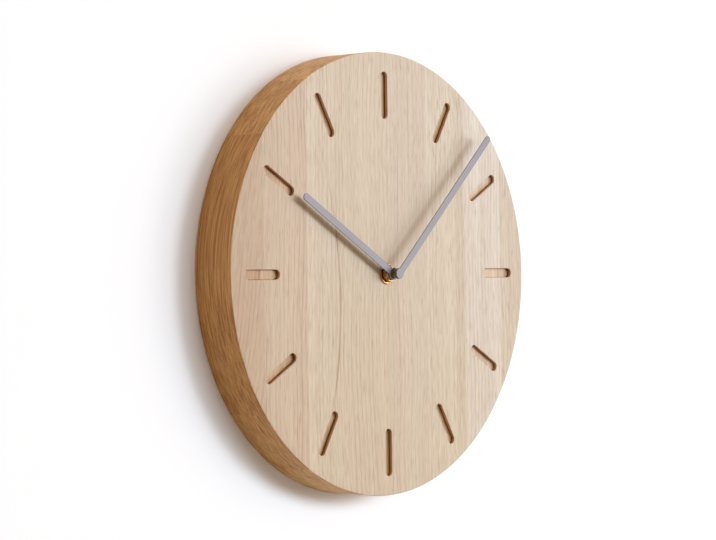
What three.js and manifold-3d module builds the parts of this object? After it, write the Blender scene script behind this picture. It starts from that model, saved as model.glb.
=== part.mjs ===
// A round oak wall clock: a solid disc with twelve routed hour slots, two flat bar hands, and a battery
// quartz movement in a pocket routed in its back. It hangs on a keyhole plate let into the back.
//
// Millimetres. The clock is modelled as its face is seen, with x to the right, y up and z out of the wall,
// from the disc's back at z = 0, and with the hands' axis at x = y = 0. The groups at the end turn it to
// +Z up, with the face towards -Y, and put the origin where the wall screw bears in the keyhole.
import * as THREE from 'three';
import { mergeVertices } from 'three/addons/utils/BufferGeometryUtils.js';
import Module from 'manifold-3d';

// Clearances: a seat between resting pieces, a running fit on arbors, and the play between wheel layers
const seat = 0.3;
const running = 0.15;
const wheelPlay = 0.9;
const closePlay = 0.4;

// How round forms are divided, and how far a cutting form runs past a face and a joined one into another
const rimFacets = 84;
const turnedFacets = 18;
const pinFacets = 12;
const arcSteps = 4;
const handArcSteps = 7;
const cutPast = 0.4;
const joinDepth = 0.2;
const mergeTolerance = 1e-5;

// The oak disc
const discRadius = 150;
const discThickness = 32;
const edgeChamfer = 0.6;

// The hour slots, routed in the face
const hourCount = 12;
const slotMargin = 13;
const slotLength = 32;
const slotWidth = 6.5;
const slotDepth = 3.2;

// The pocket for the movement, with the room left behind it for fingers
const pocketClearance = 2.5;
const pocketCorner = 8;
const recessDepth = 5.6;

// The keyhole plate and its screws
const plateMargin = 48;
const plateWidth = 19;
const plateHeight = 46;
const plateThickness = 1.6;
const plateSunk = 0.4;
const screwFromEnd = 6;
const keyEntryRadius = 5.2;
const keySlotWidth = 5.4;
const keySlotRise = 9;
const keyPocketDepth = 10;
const keyPocketMargin = 2;
const screwHeadRadius = 2.9;
const screwShankRadius = 1.3;
const screwLength = 11;

// The hands, with the time that they show in degrees clockwise from twelve
const handWidth = 5;
const handThickness = 0.8;
const hourHandReach = 102;
const hourEyeRadius = 4.2;
const hourHandAngle = 300.3;
const minuteHandReach = 138;
const minuteEyeRadius = 3.5;
const minuteHandAngle = 46;
const colletFlange = 0.8;
const hourColletRadius = 3.3;
const hourColletFlangeRadius = 4.2;
const minuteColletRadius = 3.4;
const minuteColletFlangeRadius = 3.7;
const minuteColletLength = 3.4;

// The brass fixing on the face, and the bush that it screws on
const bushRadius = 4;
const bushFlangeRadius = 6.4;
const bushFlange = 0.8;
const bushProud = 0.6;
const washerRadius = 7.3;
const washerThickness = 0.6;
const nutAcrossFlats = 11.8;
const nutThickness = 2.8;
const nutCornerCut = 0.7;
const nutCornerDrop = 0.35;
const gasketRadius = 12;
const gasketThickness = 1;

// The nested arbors
const minuteArborRadius = 1.5;
const hourTubeWall = 0.9;
const hourTubeProud = 0.4;
const arborRadius = 0.55;
const pivotDepth = 0.8;
const tailBearingDepth = 1.6;

// The movement's case
const caseWall = 1.3;
const frontWall = 1.2;
const coverWall = 1.4;
const coverLipWall = 0.8;
const coverLipDepth = 1.3;
const caseCorner = 2;
const middlePlateThickness = 1;
const middlePlateGap = 0.8;
const postRadius = 1.8;
const postPinRadius = 0.9;
const postInset = 3.6;

// Toothed wheels: counts, modules, and a tooth's form as shares of its module and of its pitch
const wheelThickness = 0.8;
const pinionOverlap = 0.15;
const pinionTeeth = 6;
const intermediateTeeth = 36;
const secondsTeeth = 30;
const thirdTeeth = 45;
const centreTeeth = 48;
const cannonTeeth = 12;
const minuteWheelTeeth = 36;
const minutePinionTeeth = 10;
const hourTeeth = 40;
const settingTeeth = 12;
const rotorModule = 0.37;
const secondsModule = 0.61;
const thirdModule = 0.43;
const motionModule = 0.33;
const toothAddendum = 0.75;
const toothDedendum = 1.15;
const toothRootShare = 0.27;
const toothPitchShare = 0.19;
const toothTipShare = 0.09;

// Directions from one axis to the next, in degrees from x towards y
const thirdDirection = 60;
const intermediateDirection = 140;
const rotorDirection = 105;
const minuteWheelDirection = -20;
const settingDirection = 0;

// The clutch behind the centre wheel
const clutchFlange = 0.35;
const clutchFlangeRadius = 2.6;
const clutchSpringHeight = 0.5;
const clutchSpringRadius = 4.2;
const clutchSpringWall = 0.25;

// The stepping motor
const magnetRadius = 2.2;
const magnetLength = 2.8;
const magnetBore = 0.8;
const airGap = 0.5;
const laminationThickness = 1;
const statorFootRim = 1.6;
const statorHeadRim = 0.8;
const statorLegWidth = 3.2;
const coilLength = 21;
const coilCentreX = -8;
const coilFlangeRadius = 2.9;
const coilFlangeWall = 0.8;
const windingRadius = 2.6;
const bobbinRadius = 1.9;
const coreWidth = 2.2;
const coreCorner = 0.5;
const laminationPinRadius = 0.6;
const laminationPostRadius = 1.3;

// The cell, its contacts and the circuit
const cellRadius = 7.05;
const cellLength = 49.2;
const cellNubRadius = 2.7;
const cellNubLength = 1.3;
const cellEdge = 0.6;
const contactBow = 0.6;
const contactThickness = 0.4;
const contactWidth = 9;
const boardThickness = 0.8;
const boardHeight = 18;
const boardCorner = 0.4;
const chipRadius = 2.4;
const chipHeight = 0.9;
const chipCrownRadius = 1.4;
const chipCrownDrop = 0.2;
const chipFromTop = 6;
const crystalRadius = 1;
const crystalLength = 6;

// The setting knob
const knobRadius = 6;
const knobThickness = 2.6;
const knobGrip = 0.5;
const knobGrips = 24;
const settingShaftRadius = 1.2;
const settingPivotRadius = 0.7;

// Oak, metals and plastics, as they look
const oak = { color: 0xd9bf9c, roughness: 0.6, metalness: 0 };
const paintedAluminium = { color: 0xa9a8b0, roughness: 0.45, metalness: 0.3 };
const brass = { color: 0xb8934a, roughness: 0.3, metalness: 1 };
const steel = { color: 0xa8a8a6, roughness: 0.35, metalness: 1 };
const blackPlastic = { color: 0x1d1d1f, roughness: 0.5, metalness: 0 };
const whitePlastic = { color: 0xe6e3da, roughness: 0.5, metalness: 0 };
const rubber = { color: 0x2a2a2a, roughness: 0.9, metalness: 0 };
const copper = { color: 0xa5552e, roughness: 0.4, metalness: 1 };
const magnetGrey = { color: 0x55565a, roughness: 0.5, metalness: 0.6 };
const boardGreen = { color: 0x2d5a3a, roughness: 0.6, metalness: 0 };
const resin = { color: 0x161616, roughness: 0.35, metalness: 0 };
const cellSleeve = { color: 0x3a4a58, roughness: 0.4, metalness: 0.2 };

// Where each layer of the movement lies, from the back forwards
const coverBack = recessDepth;
const coverFront = coverBack + coverWall;
const baseBack = coverFront + seat;
const intermediateBack = coverFront + wheelPlay;
const secondsBack = intermediateBack + wheelThickness + wheelPlay;
const thirdBack = secondsBack + wheelThickness + wheelPlay;
const clutchBack = thirdBack + wheelThickness + closePlay;
const springBack = clutchBack + clutchFlange + running;
const centreBack = springBack + clutchSpringHeight + running;
const middlePlateBack = centreBack + wheelThickness + closePlay;
const middlePlateFront = middlePlateBack + middlePlateThickness;
const minuteWheelBack = middlePlateFront + wheelPlay;
const hourBack = minuteWheelBack + wheelThickness + closePlay;
const bushBack = hourBack + wheelThickness + seat;
const caseInside = bushBack + bushFlange + seat;
const caseFront = caseInside + frontWall;
const gasketBack = caseFront + seat;
const gasketFront = gasketBack + gasketThickness;
const pocketFloor = gasketFront + seat;

// The motor and the circuit, in the room behind the middle plate
const magnetBack = intermediateBack + wheelThickness + pinionOverlap + seat;
const magnetFront = magnetBack + magnetLength;
const statorBack = magnetBack + (magnetLength - laminationThickness) / 2;
const statorFront = statorBack + laminationThickness;
const coreBack = statorFront + seat;
const coreFront = coreBack + laminationThickness;
const coilZ = (coreBack + coreFront) / 2;
const boardFront = middlePlateBack - seat;
const boardBack = boardFront - boardThickness;

// Where the pieces on the face lie
const washerBack = discThickness + seat;
const washerFront = washerBack + washerThickness;
const nutBack = washerFront + seat;
const nutFront = nutBack + nutThickness;
const bushFront = nutFront + bushProud;
const hourColletBack = bushFront + seat;
const hourHandBack = hourColletBack + colletFlange + seat;
const hourHandFront = hourHandBack + handThickness;
const hourTubeFront = hourHandFront + hourTubeProud;
const minuteColletBack = hourTubeFront + closePlay;
const minuteArborFront = minuteColletBack + minuteColletLength;
const minuteHandBack = minuteArborFront + seat;
const minuteHandFront = minuteHandBack + handThickness;

// The nested tubes, from the inside out
const hourTubeBore = minuteArborRadius + running;
const hourTubeRadius = hourTubeBore + hourTubeWall;
const bushBore = hourTubeRadius + running;
const bushHole = bushRadius + seat;

// A point at a distance and a direction from another.
function polar(from, distance, degrees) {
  const angle = THREE.MathUtils.degToRad(degrees);
  return new THREE.Vector2(from.x + distance * Math.cos(angle), from.y + distance * Math.sin(angle));
}

// Half of a pair's teeth times the module is the distance between their axes.
function axesApart(module, teeth, otherTeeth) {
  return (module * (teeth + otherTeeth)) / 2;
}

function moduleFor(distance, teeth, otherTeeth) {
  return (2 * distance) / (teeth + otherTeeth);
}

function tipRadius(module, teeth) {
  return module * (teeth / 2 + toothAddendum);
}

// The axes of the train. The seconds wheel shares the hands' axis, so that both of the third wheel's meshes
// have one distance, and so have both of the minute wheel's.
const centreAxis = new THREE.Vector2(0, 0);
const thirdDistance = axesApart(thirdModule, thirdTeeth, pinionTeeth);
const thirdAxis = polar(centreAxis, thirdDistance, thirdDirection);
const centreModule = moduleFor(thirdDistance, centreTeeth, pinionTeeth);
const intermediateDistance = axesApart(secondsModule, secondsTeeth, pinionTeeth);
const intermediateAxis = polar(centreAxis, intermediateDistance, intermediateDirection);
const rotorDistance = axesApart(rotorModule, intermediateTeeth, pinionTeeth);
const rotorAxis = polar(intermediateAxis, rotorDistance, rotorDirection);
const minuteWheelDistance = axesApart(motionModule, cannonTeeth, minuteWheelTeeth);
const minuteWheelAxis = polar(centreAxis, minuteWheelDistance, minuteWheelDirection);
const hourModule = moduleFor(minuteWheelDistance, hourTeeth, minutePinionTeeth);
const settingDistance = axesApart(motionModule, minuteWheelTeeth, settingTeeth);
const settingAxis = polar(minuteWheelAxis, settingDistance, settingDirection);

// The case's inside: the cell's bay below the train, and the coil above it
const thirdTip = tipRadius(thirdModule, thirdTeeth);
const statorHole = magnetRadius + airGap;
const statorHead = rotorAxis.y + statorHole + statorHeadRim;
const trainTop = Math.max(thirdAxis.y + thirdTip, statorHead);
const trainBottom = -Math.max(tipRadius(centreModule, centreTeeth), tipRadius(secondsModule, secondsTeeth));
const chamberBottom = trainBottom - wheelPlay;
const bayTop = chamberBottom - caseWall;
const cellY = bayTop - seat - cellRadius;
const cellZ = caseInside - seat - cellRadius;
const cellHalf = (cellLength + cellNubLength) / 2;
const insideBottom = cellY - cellRadius - seat;
const coilY = trainTop + wheelPlay + coilFlangeRadius;
const insideTop = coilY + coilFlangeRadius + wheelPlay;
const insideHalfWidth = cellHalf + seat + contactBow + contactThickness + seat;
const boardLeft = thirdAxis.x + thirdTip + wheelPlay;
const boardRight = insideHalfWidth - middlePlateGap;
const boardTop = insideTop - 2 * postInset;
const boardFoot = boardTop - boardHeight;
const boardMiddle = (boardLeft + boardRight) / 2;

// The ends of the coil's core, each on a leg of the stator and a post of the middle plate
const legReach = (coilLength + statorLegWidth) / 2 + seat;
const legPlaces = [coilCentreX - legReach, coilCentreX + legReach].map((x) => new THREE.Vector2(x, coilY));

// The posts in the corners of the train's chamber
const postX = insideHalfWidth - postInset;
const postLow = chamberBottom + postInset;
const postHigh = insideTop - postInset;
const postCorners = [[-postX, postLow], [postX, postLow], [postX, postHigh], [-postX, postHigh]];
const postPlaces = postCorners.map(([x, y]) => new THREE.Vector2(x, y));

// The keyhole: its slot rises from the entry, and the wall screw bears at the slot's top.
const keyPlateY = discRadius - plateMargin;
const keyEntryY = keyPlateY - keySlotRise / 2;
const keySlotTopY = keyEntryY + keySlotRise;
const hangY = keySlotTopY + keySlotWidth / 2;
const keyPlateBack = plateSunk;
const keyPlateFront = keyPlateBack + plateThickness;
const screwReach = plateHeight / 2 - screwFromEnd;
const screwPlaces = {
  lower: new THREE.Vector2(0, keyPlateY - screwReach),
  upper: new THREE.Vector2(0, keyPlateY + screwReach),
};

const wasm = await Module();
wasm.setup();

// A closed solid from a geometry, with shared corners merged and collapsed triangles left out.
function toSolid(geometry) {
  const bare = geometry.clone();
  bare.deleteAttribute('normal');
  bare.deleteAttribute('uv');
  const merged = mergeVertices(bare, mergeTolerance);
  const corners = merged.index.array;
  const kept = [];
  for (let i = 0; i < corners.length; i += 3) {
    const [a, b, c] = corners.slice(i, i + 3);
    if (a !== b && b !== c && c !== a) {
      kept.push(a, b, c);
    }
  }
  const vertProperties = new Float32Array(merged.attributes.position.array);
  const mesh = new wasm.Mesh({ numProp: 3, vertProperties, triVerts: new Uint32Array(kept) });
  return new wasm.Manifold(mesh);
}

function toGeometry(solid) {
  const { vertProperties, triVerts } = solid.getMesh();
  const geometry = new THREE.BufferGeometry();
  geometry.setAttribute('position', new THREE.BufferAttribute(vertProperties, 3));
  geometry.setIndex(new THREE.BufferAttribute(triVerts, 1));
  return geometry;
}

function join(first, ...others) {
  return toGeometry(others.reduce((sum, other) => sum.add(toSolid(other)), toSolid(first)));
}

function cut(first, ...tools) {
  return toGeometry(tools.reduce((left, tool) => left.subtract(toSolid(tool)), toSolid(first)));
}

function common(first, second) {
  return toGeometry(toSolid(first).intersect(toSolid(second)));
}

// A plate of one outline between two heights.
function plate(outline, back, front, curveSegments = arcSteps) {
  const settings = { depth: front - back, bevelEnabled: false, curveSegments };
  return new THREE.ExtrudeGeometry(outline, settings).translate(0, 0, back);
}

// A round bar along z.
function rod(radius, back, front, at = centreAxis, facets = pinFacets) {
  const geometry = new THREE.CylinderGeometry(radius, radius, front - back, facets);
  return geometry.rotateX(Math.PI / 2).translate(at.x, at.y, (back + front) / 2);
}

// A round hole through a wall: a bar that runs past both of its faces.
function drill(radius, back, front, at = centreAxis, facets = pinFacets) {
  return rod(radius, back - cutPast, front + cutPast, at, facets);
}

// A piece turned about z, from [radius, z] points that run round its section counterclockwise.
function turned(section, facets = turnedFacets) {
  const points = section.map(([radius, z]) => new THREE.Vector2(radius, z));
  return new THREE.LatheGeometry(points, facets).rotateX(Math.PI / 2);
}

// A turned ring of plain section.
function ring(bore, radius, back, front) {
  return turned([[bore, back], [radius, back], [radius, front], [bore, front], [bore, back]]);
}

// A rectangle with round corners, by its sides.
function roundedRectangle(left, bottom, right, top, corner) {
  const outline = new THREE.Shape();
  outline.absarc(right - corner, bottom + corner, corner, -Math.PI / 2, 0);
  outline.absarc(right - corner, top - corner, corner, 0, Math.PI / 2);
  outline.absarc(left + corner, top - corner, corner, Math.PI / 2, Math.PI);
  outline.absarc(left + corner, bottom + corner, corner, Math.PI, 1.5 * Math.PI);
  outline.closePath();
  return outline;
}

// An upright slot with round ends, by the heights of its end centres.
function uprightSlot(lowY, highY, radius) {
  const outline = new THREE.Shape();
  outline.absarc(0, highY, radius, 0, Math.PI);
  outline.absarc(0, lowY, radius, Math.PI, 2 * Math.PI);
  outline.closePath();
  return outline;
}

// The points of an outline from [radius, turn] pairs, with the turn in radians.
function polarPoints(pairs) {
  return pairs.map(([radius, turn]) => new THREE.Vector2(radius * Math.cos(turn), radius * Math.sin(turn)));
}

// The outline of a toothed wheel. A tooth's flank is straight from root to tip on a wheel, and bends at the
// pitch circle on a pinion, whose few teeth need the rounder form.
function toothedOutline(module, teeth, bent) {
  const pitch = (2 * Math.PI) / teeth;
  const pitchRadius = (module * teeth) / 2;
  const root = [pitchRadius - toothDedendum * module, toothRootShare];
  const tip = [tipRadius(module, teeth), toothTipShare];
  const flank = bent ? [root, [pitchRadius, toothPitchShare], tip] : [root, tip];
  const rising = flank.map(([radius, share]) => [radius, -share]);
  const tooth = [...rising, ...flank.toReversed()];
  const pairs = [];
  for (let i = 0; i < teeth; i += 1) {
    pairs.push(...tooth.map(([radius, share]) => [radius, (i + share) * pitch]));
  }
  return new THREE.Shape(polarPoints(pairs));
}

// A toothed disc from its back, and a pinion that overlaps the wheel it meets on both sides.
function wheel(module, teeth, back) {
  return plate(toothedOutline(module, teeth, false), back, back + wheelThickness);
}

function pinion(module, teeth, mateBack) {
  const back = mateBack - pinionOverlap;
  const front = mateBack + wheelThickness + pinionOverlap;
  return plate(toothedOutline(module, teeth, true), back, front);
}

// How far a wheel is turned so that its teeth stand in the spaces of a wheel that is turned already.
function meshTurn(turn, teeth, axis, mateTeeth, mateAxis) {
  const towards = Math.atan2(mateAxis.y - axis.y, mateAxis.x - axis.x);
  return towards + Math.PI + (Math.PI - teeth * (turn - towards)) / mateTeeth;
}

// The inside of the movement's case, drawn in by a margin.
function insideOutline(margin) {
  const half = insideHalfWidth - margin;
  return roundedRectangle(-half, insideBottom + margin, half, insideTop - margin, caseCorner - margin);
}

// The hour slots, all at one distance from the edge.
function hourSlots() {
  const radius = slotWidth / 2;
  const outer = discRadius - slotMargin - radius;
  const inner = outer - slotLength + slotWidth;
  const outline = uprightSlot(inner, outer, radius);
  const slots = [];
  for (let hour = 0; hour < hourCount; hour += 1) {
    const slot = plate(outline, discThickness - slotDepth, discThickness + cutPast);
    slots.push(slot.rotateZ((2 * Math.PI * hour) / hourCount));
  }
  return slots;
}

// The disc with its pocket, the bush's hole, the hour slots, and the keyhole plate's seat and screw holes.
function caseBody() {
  const disc = turned(
    [
      [0, 0],
      [discRadius - edgeChamfer, 0],
      [discRadius, edgeChamfer],
      [discRadius, discThickness - edgeChamfer],
      [discRadius - edgeChamfer, discThickness],
      [0, discThickness],
    ],
    rimFacets,
  );
  const half = insideHalfWidth + caseWall + pocketClearance;
  const low = insideBottom - caseWall - pocketClearance;
  const high = insideTop + caseWall + pocketClearance;
  const pocket = plate(roundedRectangle(-half, low, half, high, pocketCorner), -cutPast, pocketFloor);
  const plateSeat = plate(keyPlateOutline(seat), -cutPast, keyPlateFront + seat);
  const keyPocketOutline = uprightSlot(keyEntryY, keySlotTopY, keyEntryRadius + keyPocketMargin);
  const keyPocket = plate(keyPocketOutline, keyPlateBack, keyPocketDepth);
  const pilotFront = keyPlateBack + screwLength + seat;
  const pilots = Object.values(screwPlaces).map((at) =>
    rod(screwShankRadius + running, keyPlateBack, pilotFront, at),
  );
  const hole = drill(bushHole, pocketFloor, discThickness);
  return cut(disc, pocket, hole, ...hourSlots(), plateSeat, keyPocket, ...pilots);
}

// A plate with round ends, let into the back: the screw's head goes in at the entry and behind the slot.
function keyPlateOutline(margin) {
  const half = plateWidth / 2 + margin;
  const low = keyPlateY - plateHeight / 2 - margin;
  const high = keyPlateY + plateHeight / 2 + margin;
  return roundedRectangle(-half, low, half, high, half);
}

function keyholePlate() {
  const body = plate(keyPlateOutline(0), keyPlateBack, keyPlateFront);
  const entry = drill(
    keyEntryRadius,
    keyPlateBack,
    keyPlateFront,
    new THREE.Vector2(0, keyEntryY),
    turnedFacets,
  );
  const slotOutline = uprightSlot(keyEntryY, keySlotTopY, keySlotWidth / 2);
  const slot = plate(slotOutline, keyPlateBack - cutPast, keyPlateFront + cutPast);
  const holes = Object.values(screwPlaces).flatMap((at) => [
    screwHead(running).translate(at.x, at.y, 0),
    rod(screwHeadRadius + running, keyPlateBack - cutPast, keyPlateBack, at),
    drill(screwShankRadius + running, keyPlateBack, keyPlateFront, at),
  ]);
  return cut(body, entry, slot, ...holes);
}

// A countersunk head, as deep as its rim is wide, with a margin all round where it is a hole.
function screwHead(margin) {
  const rim = screwHeadRadius + margin;
  const neck = screwShankRadius + margin;
  const neckZ = keyPlateBack + screwHeadRadius - screwShankRadius;
  return turned([[0, keyPlateBack], [rim, keyPlateBack], [neck, neckZ], [0, neckZ]], pinFacets);
}

function plateScrew() {
  return join(screwHead(0), rod(screwShankRadius, keyPlateBack + joinDepth, keyPlateBack + screwLength));
}

// A flat bar that points to twelve: a round tip, straight sides and a round eye.
function handOutline(reach, eyeRadius) {
  const half = handWidth / 2;
  const leave = Math.asin(half / eyeRadius);
  const outline = new THREE.Shape();
  outline.absarc(0, reach - half, half, 0, Math.PI);
  outline.absarc(0, 0, eyeRadius, Math.PI / 2 + leave, 2.5 * Math.PI - leave);
  outline.closePath();
  return outline;
}

function hourHand() {
  const outline = handOutline(hourHandReach, hourEyeRadius);
  const bar = plate(outline, hourHandBack, hourHandFront, handArcSteps);
  const eye = drill(hourColletRadius + running, hourHandBack, hourHandFront, centreAxis, turnedFacets);
  return cut(bar, eye);
}

function minuteHand() {
  const outline = handOutline(minuteHandReach, minuteEyeRadius);
  return plate(outline, minuteHandBack, minuteHandFront, handArcSteps);
}

// A bush that grips the hour tube, with a flange behind the hand and its neck in the hand's eye.
function hourHandCollet() {
  const bore = hourTubeRadius + running;
  const shoulder = hourColletBack + colletFlange;
  return turned([
    [bore, hourColletBack],
    [hourColletFlangeRadius, hourColletBack],
    [hourColletFlangeRadius, shoulder],
    [hourColletRadius, shoulder],
    [hourColletRadius, hourHandFront],
    [bore, hourHandFront],
    [bore, hourColletBack],
  ]);
}

// A bush that grips the minute arbor, with its flange against the back of the hand.
function minuteHandCollet() {
  const bore = minuteArborRadius + running;
  const shoulder = minuteArborFront - colletFlange;
  return turned([
    [bore, minuteColletBack],
    [minuteColletRadius, minuteColletBack],
    [minuteColletRadius, shoulder],
    [minuteColletFlangeRadius, shoulder],
    [minuteColletFlangeRadius, minuteArborFront],
    [bore, minuteArborFront],
    [bore, minuteColletBack],
  ]);
}

// A hexagon with the corners of both its faces turned off.
function fixingNut() {
  const corner = nutAcrossFlats / Math.sqrt(3);
  const flat = corner - nutCornerCut;
  const hexagon = rod(corner, nutBack, nutFront, centreAxis, 6);
  const turnedOff = turned([
    [bushHole, nutBack],
    [flat, nutBack],
    [corner, nutBack + nutCornerDrop],
    [corner, nutFront - nutCornerDrop],
    [flat, nutFront],
    [bushHole, nutFront],
    [bushHole, nutBack],
  ]);
  return common(hexagon, turnedOff);
}

// The bush is held in the base by its flange, and the nut draws it against the face.
function threadedBush() {
  const shoulder = bushBack + bushFlange;
  return turned([
    [bushBore, bushBack],
    [bushFlangeRadius, bushBack],
    [bushFlangeRadius, shoulder],
    [bushRadius, shoulder],
    [bushRadius, bushFront],
    [bushBore, bushFront],
    [bushBore, bushBack],
  ]);
}

// The front half of the case: a tray with the wall of the cell's bay, the posts that carry the middle plate
// on their pins, and the minute wheel's stud.
function movementBase() {
  const rooted = caseInside + frontWall / 2;
  const shell = plate(insideOutline(-caseWall), baseBack, caseFront);
  const tray = cut(shell, plate(insideOutline(0), baseBack - cutPast, caseInside));
  const bayWallBack = baseBack + coverLipDepth;
  const bayWallDepth = rooted - bayWallBack;
  const bayWall = new THREE.BoxGeometry(2 * insideHalfWidth + caseWall, caseWall, bayWallDepth);
  bayWall.translate(0, bayTop + caseWall / 2, bayWallBack + bayWallDepth / 2);
  const posts = postPlaces.flatMap((at) => [
    rod(postRadius, middlePlateFront + seat, rooted, at),
    rod(postPinRadius, middlePlateBack + running, rooted, at),
  ]);
  const stud = rod(arborRadius, minuteWheelBack - closePlay, rooted, minuteWheelAxis);
  const bushSeat = drill(bushHole, caseInside, caseFront);
  const settingBearing = drill(settingPivotRadius + running, caseInside, caseFront, settingAxis);
  return cut(join(tray, bayWall, ...posts, stud), bushSeat, settingBearing);
}

// The back half: a lid with a lip in the tray, the opening of the cell's bay, and the train's rear bearings.
function backCover() {
  const lipOutside = seat;
  const lipInside = lipOutside + coverLipWall;
  const lipFront = coverFront + coverLipDepth;
  const lid = plate(insideOutline(-caseWall), coverBack, coverFront);
  const lip = cut(
    plate(insideOutline(lipOutside), coverFront - joinDepth, lipFront),
    plate(insideOutline(lipInside), coverBack, lipFront + cutPast),
  );
  const half = insideHalfWidth - lipInside;
  const bay = roundedRectangle(-half, insideBottom + lipInside, half, bayTop, caseCorner - lipInside);
  const opening = plate(bay, coverBack - cutPast, coverFront + cutPast);
  const bearings = [thirdAxis, intermediateAxis, rotorAxis, centreAxis].map((at) =>
    rod(arborRadius + running, coverFront - pivotDepth - seat, coverFront + cutPast, at),
  );
  const settingHole = drill(settingShaftRadius + seat, coverBack, coverFront, settingAxis);
  return cut(join(lid, lip), opening, settingHole, ...bearings);
}

// The inner plate: front bearings of the train, holes for the base's pins, and the coil's two posts.
function middlePlate() {
  const half = insideHalfWidth - middlePlateGap;
  const low = chamberBottom + middlePlateGap;
  const outline = roundedRectangle(-half, low, half, insideTop - middlePlateGap, caseCorner - middlePlateGap);
  const body = plate(outline, middlePlateBack, middlePlateFront);
  const rooted = middlePlateBack + middlePlateThickness / 2;
  const posts = legPlaces.flatMap((at) => [
    rod(laminationPostRadius, coreFront + seat, rooted, at),
    rod(laminationPinRadius, statorBack, rooted, at),
  ]);
  const holeIn = (radius, at) => drill(radius, middlePlateBack, middlePlateFront, at);
  const holes = [
    holeIn(minuteArborRadius + seat, centreAxis),
    holeIn(settingShaftRadius + seat, settingAxis),
    ...[thirdAxis, intermediateAxis, rotorAxis].map((at) => holeIn(arborRadius + running, at)),
    ...postPlaces.map((at) => holeIn(postPinRadius + running, at)),
  ];
  return cut(join(body, ...posts), ...holes);
}

// The arbor carries the minute hand in front and the cannon pinion behind, and a flange for the clutch.
// The seconds wheel's front pivot runs in its tail.
function minuteArbor() {
  const shaft = rod(minuteArborRadius, clutchBack, minuteArborFront, centreAxis, turnedFacets);
  const flange = rod(clutchFlangeRadius, clutchBack, clutchBack + clutchFlange, centreAxis, turnedFacets);
  const cannon = pinion(motionModule, cannonTeeth, minuteWheelBack);
  const tailBearing = rod(arborRadius + running, clutchBack - cutPast, clutchBack + tailBearingDepth);
  return cut(join(shaft, flange, cannon), tailBearing);
}

function centreWheel() {
  const front = centreBack + wheelThickness;
  const bore = drill(minuteArborRadius + running, centreBack, front, centreAxis, turnedFacets);
  return cut(wheel(centreModule, centreTeeth, centreBack), bore);
}

// A dished washer that presses the centre wheel's hub, so that the hands can be set against the train.
function clutchSpring() {
  const bore = minuteArborRadius + running;
  const rise = clutchSpringHeight - clutchSpringWall;
  return turned([
    [bore, springBack],
    [clutchSpringRadius, springBack + rise],
    [clutchSpringRadius, springBack + rise + clutchSpringWall],
    [bore, springBack + clutchSpringWall],
    [bore, springBack],
  ]);
}

// An arbor of the train: its rear pivot runs in the cover, and its front one in the middle plate, or for the
// seconds wheel in the minute arbor's tail. Wheel and pinion are moulded on it.
function trainArbor(front = middlePlateFront - running) {
  return rod(arborRadius, coverFront - pivotDepth, front);
}

function thirdWheel() {
  const disc = wheel(thirdModule, thirdTeeth, thirdBack);
  return join(trainArbor(), disc, pinion(centreModule, pinionTeeth, centreBack));
}

function secondsWheel() {
  const disc = wheel(secondsModule, secondsTeeth, secondsBack);
  const arbor = trainArbor(clutchBack + tailBearingDepth - seat);
  return join(arbor, disc, pinion(thirdModule, pinionTeeth, thirdBack));
}

function intermediateWheel() {
  const disc = wheel(rotorModule, intermediateTeeth, intermediateBack);
  return join(trainArbor(), disc, pinion(secondsModule, pinionTeeth, secondsBack));
}

function rotorPinion() {
  return join(trainArbor(), pinion(rotorModule, pinionTeeth, intermediateBack));
}

// The stator: a plate round the rotor, with a leg up to each end of the coil's core.
function stator() {
  const [left, right] = legPlaces.map((at) => at.x);
  const half = statorLegWidth / 2;
  const foot = rotorAxis.y - statorHole - statorFootRim;
  const top = coilY + half;
  const corners = [
    [left - half, foot],
    [right + half, foot],
    [right + half, top],
    [right - half, top],
    [right - half, statorHead],
    [left + half, statorHead],
    [left + half, top],
    [left - half, top],
  ];
  const outline = new THREE.Shape(corners.map(([x, y]) => new THREE.Vector2(x, y)));
  const bore = drill(statorHole, statorBack, statorFront, rotorAxis, turnedFacets);
  return cut(plate(outline, statorBack, statorFront), bore, ...laminationHoles(statorBack, statorFront));
}

function laminationHoles(back, front) {
  return legPlaces.map((at) => drill(laminationPinRadius + running, back, front, at));
}

function coilCore() {
  const half = statorLegWidth / 2;
  const [left, right] = legPlaces.map((at) => at.x);
  const low = coilY - coreWidth / 2;
  const bar = roundedRectangle(left - half, low, right + half, low + coreWidth, coreCorner);
  return cut(plate(bar, coreBack, coreFront), ...laminationHoles(coreBack, coreFront));
}

// The coil and the cell lie along x: their pieces are turned about z and laid over.
function alongX(geometry, x, y, z) {
  return geometry.rotateY(Math.PI / 2).translate(x, y, z);
}

function coilBobbin() {
  const half = coilLength / 2;
  const inner = half - coilFlangeWall;
  const spool = turned([
    [0, -half],
    [coilFlangeRadius, -half],
    [coilFlangeRadius, -inner],
    [bobbinRadius, -inner],
    [bobbinRadius, inner],
    [coilFlangeRadius, inner],
    [coilFlangeRadius, half],
    [0, half],
  ]);
  const boreHeight = coreWidth + 2 * running;
  const boreDepth = laminationThickness + 2 * running;
  const bore = new THREE.BoxGeometry(coilLength + 2 * cutPast, boreHeight, boreDepth);
  return cut(alongX(spool, coilCentreX, coilY, coilZ), bore.translate(coilCentreX, coilY, coilZ));
}

function coilWinding() {
  const half = coilLength / 2 - coilFlangeWall - running;
  return alongX(ring(bobbinRadius + running, windingRadius, -half, half), coilCentreX, coilY, coilZ);
}

// The cell has its nub to the right.
function battery() {
  const shoulder = cellHalf - cellNubLength;
  const cell = turned([
    [0, -cellHalf],
    [cellRadius - cellEdge, -cellHalf],
    [cellRadius, -cellHalf + cellEdge],
    [cellRadius, shoulder - cellEdge],
    [cellRadius - cellEdge, shoulder],
    [cellNubRadius, shoulder],
    [cellNubRadius, cellHalf],
    [0, cellHalf],
  ]);
  return alongX(cell, 0, cellY, cellZ);
}

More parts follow.
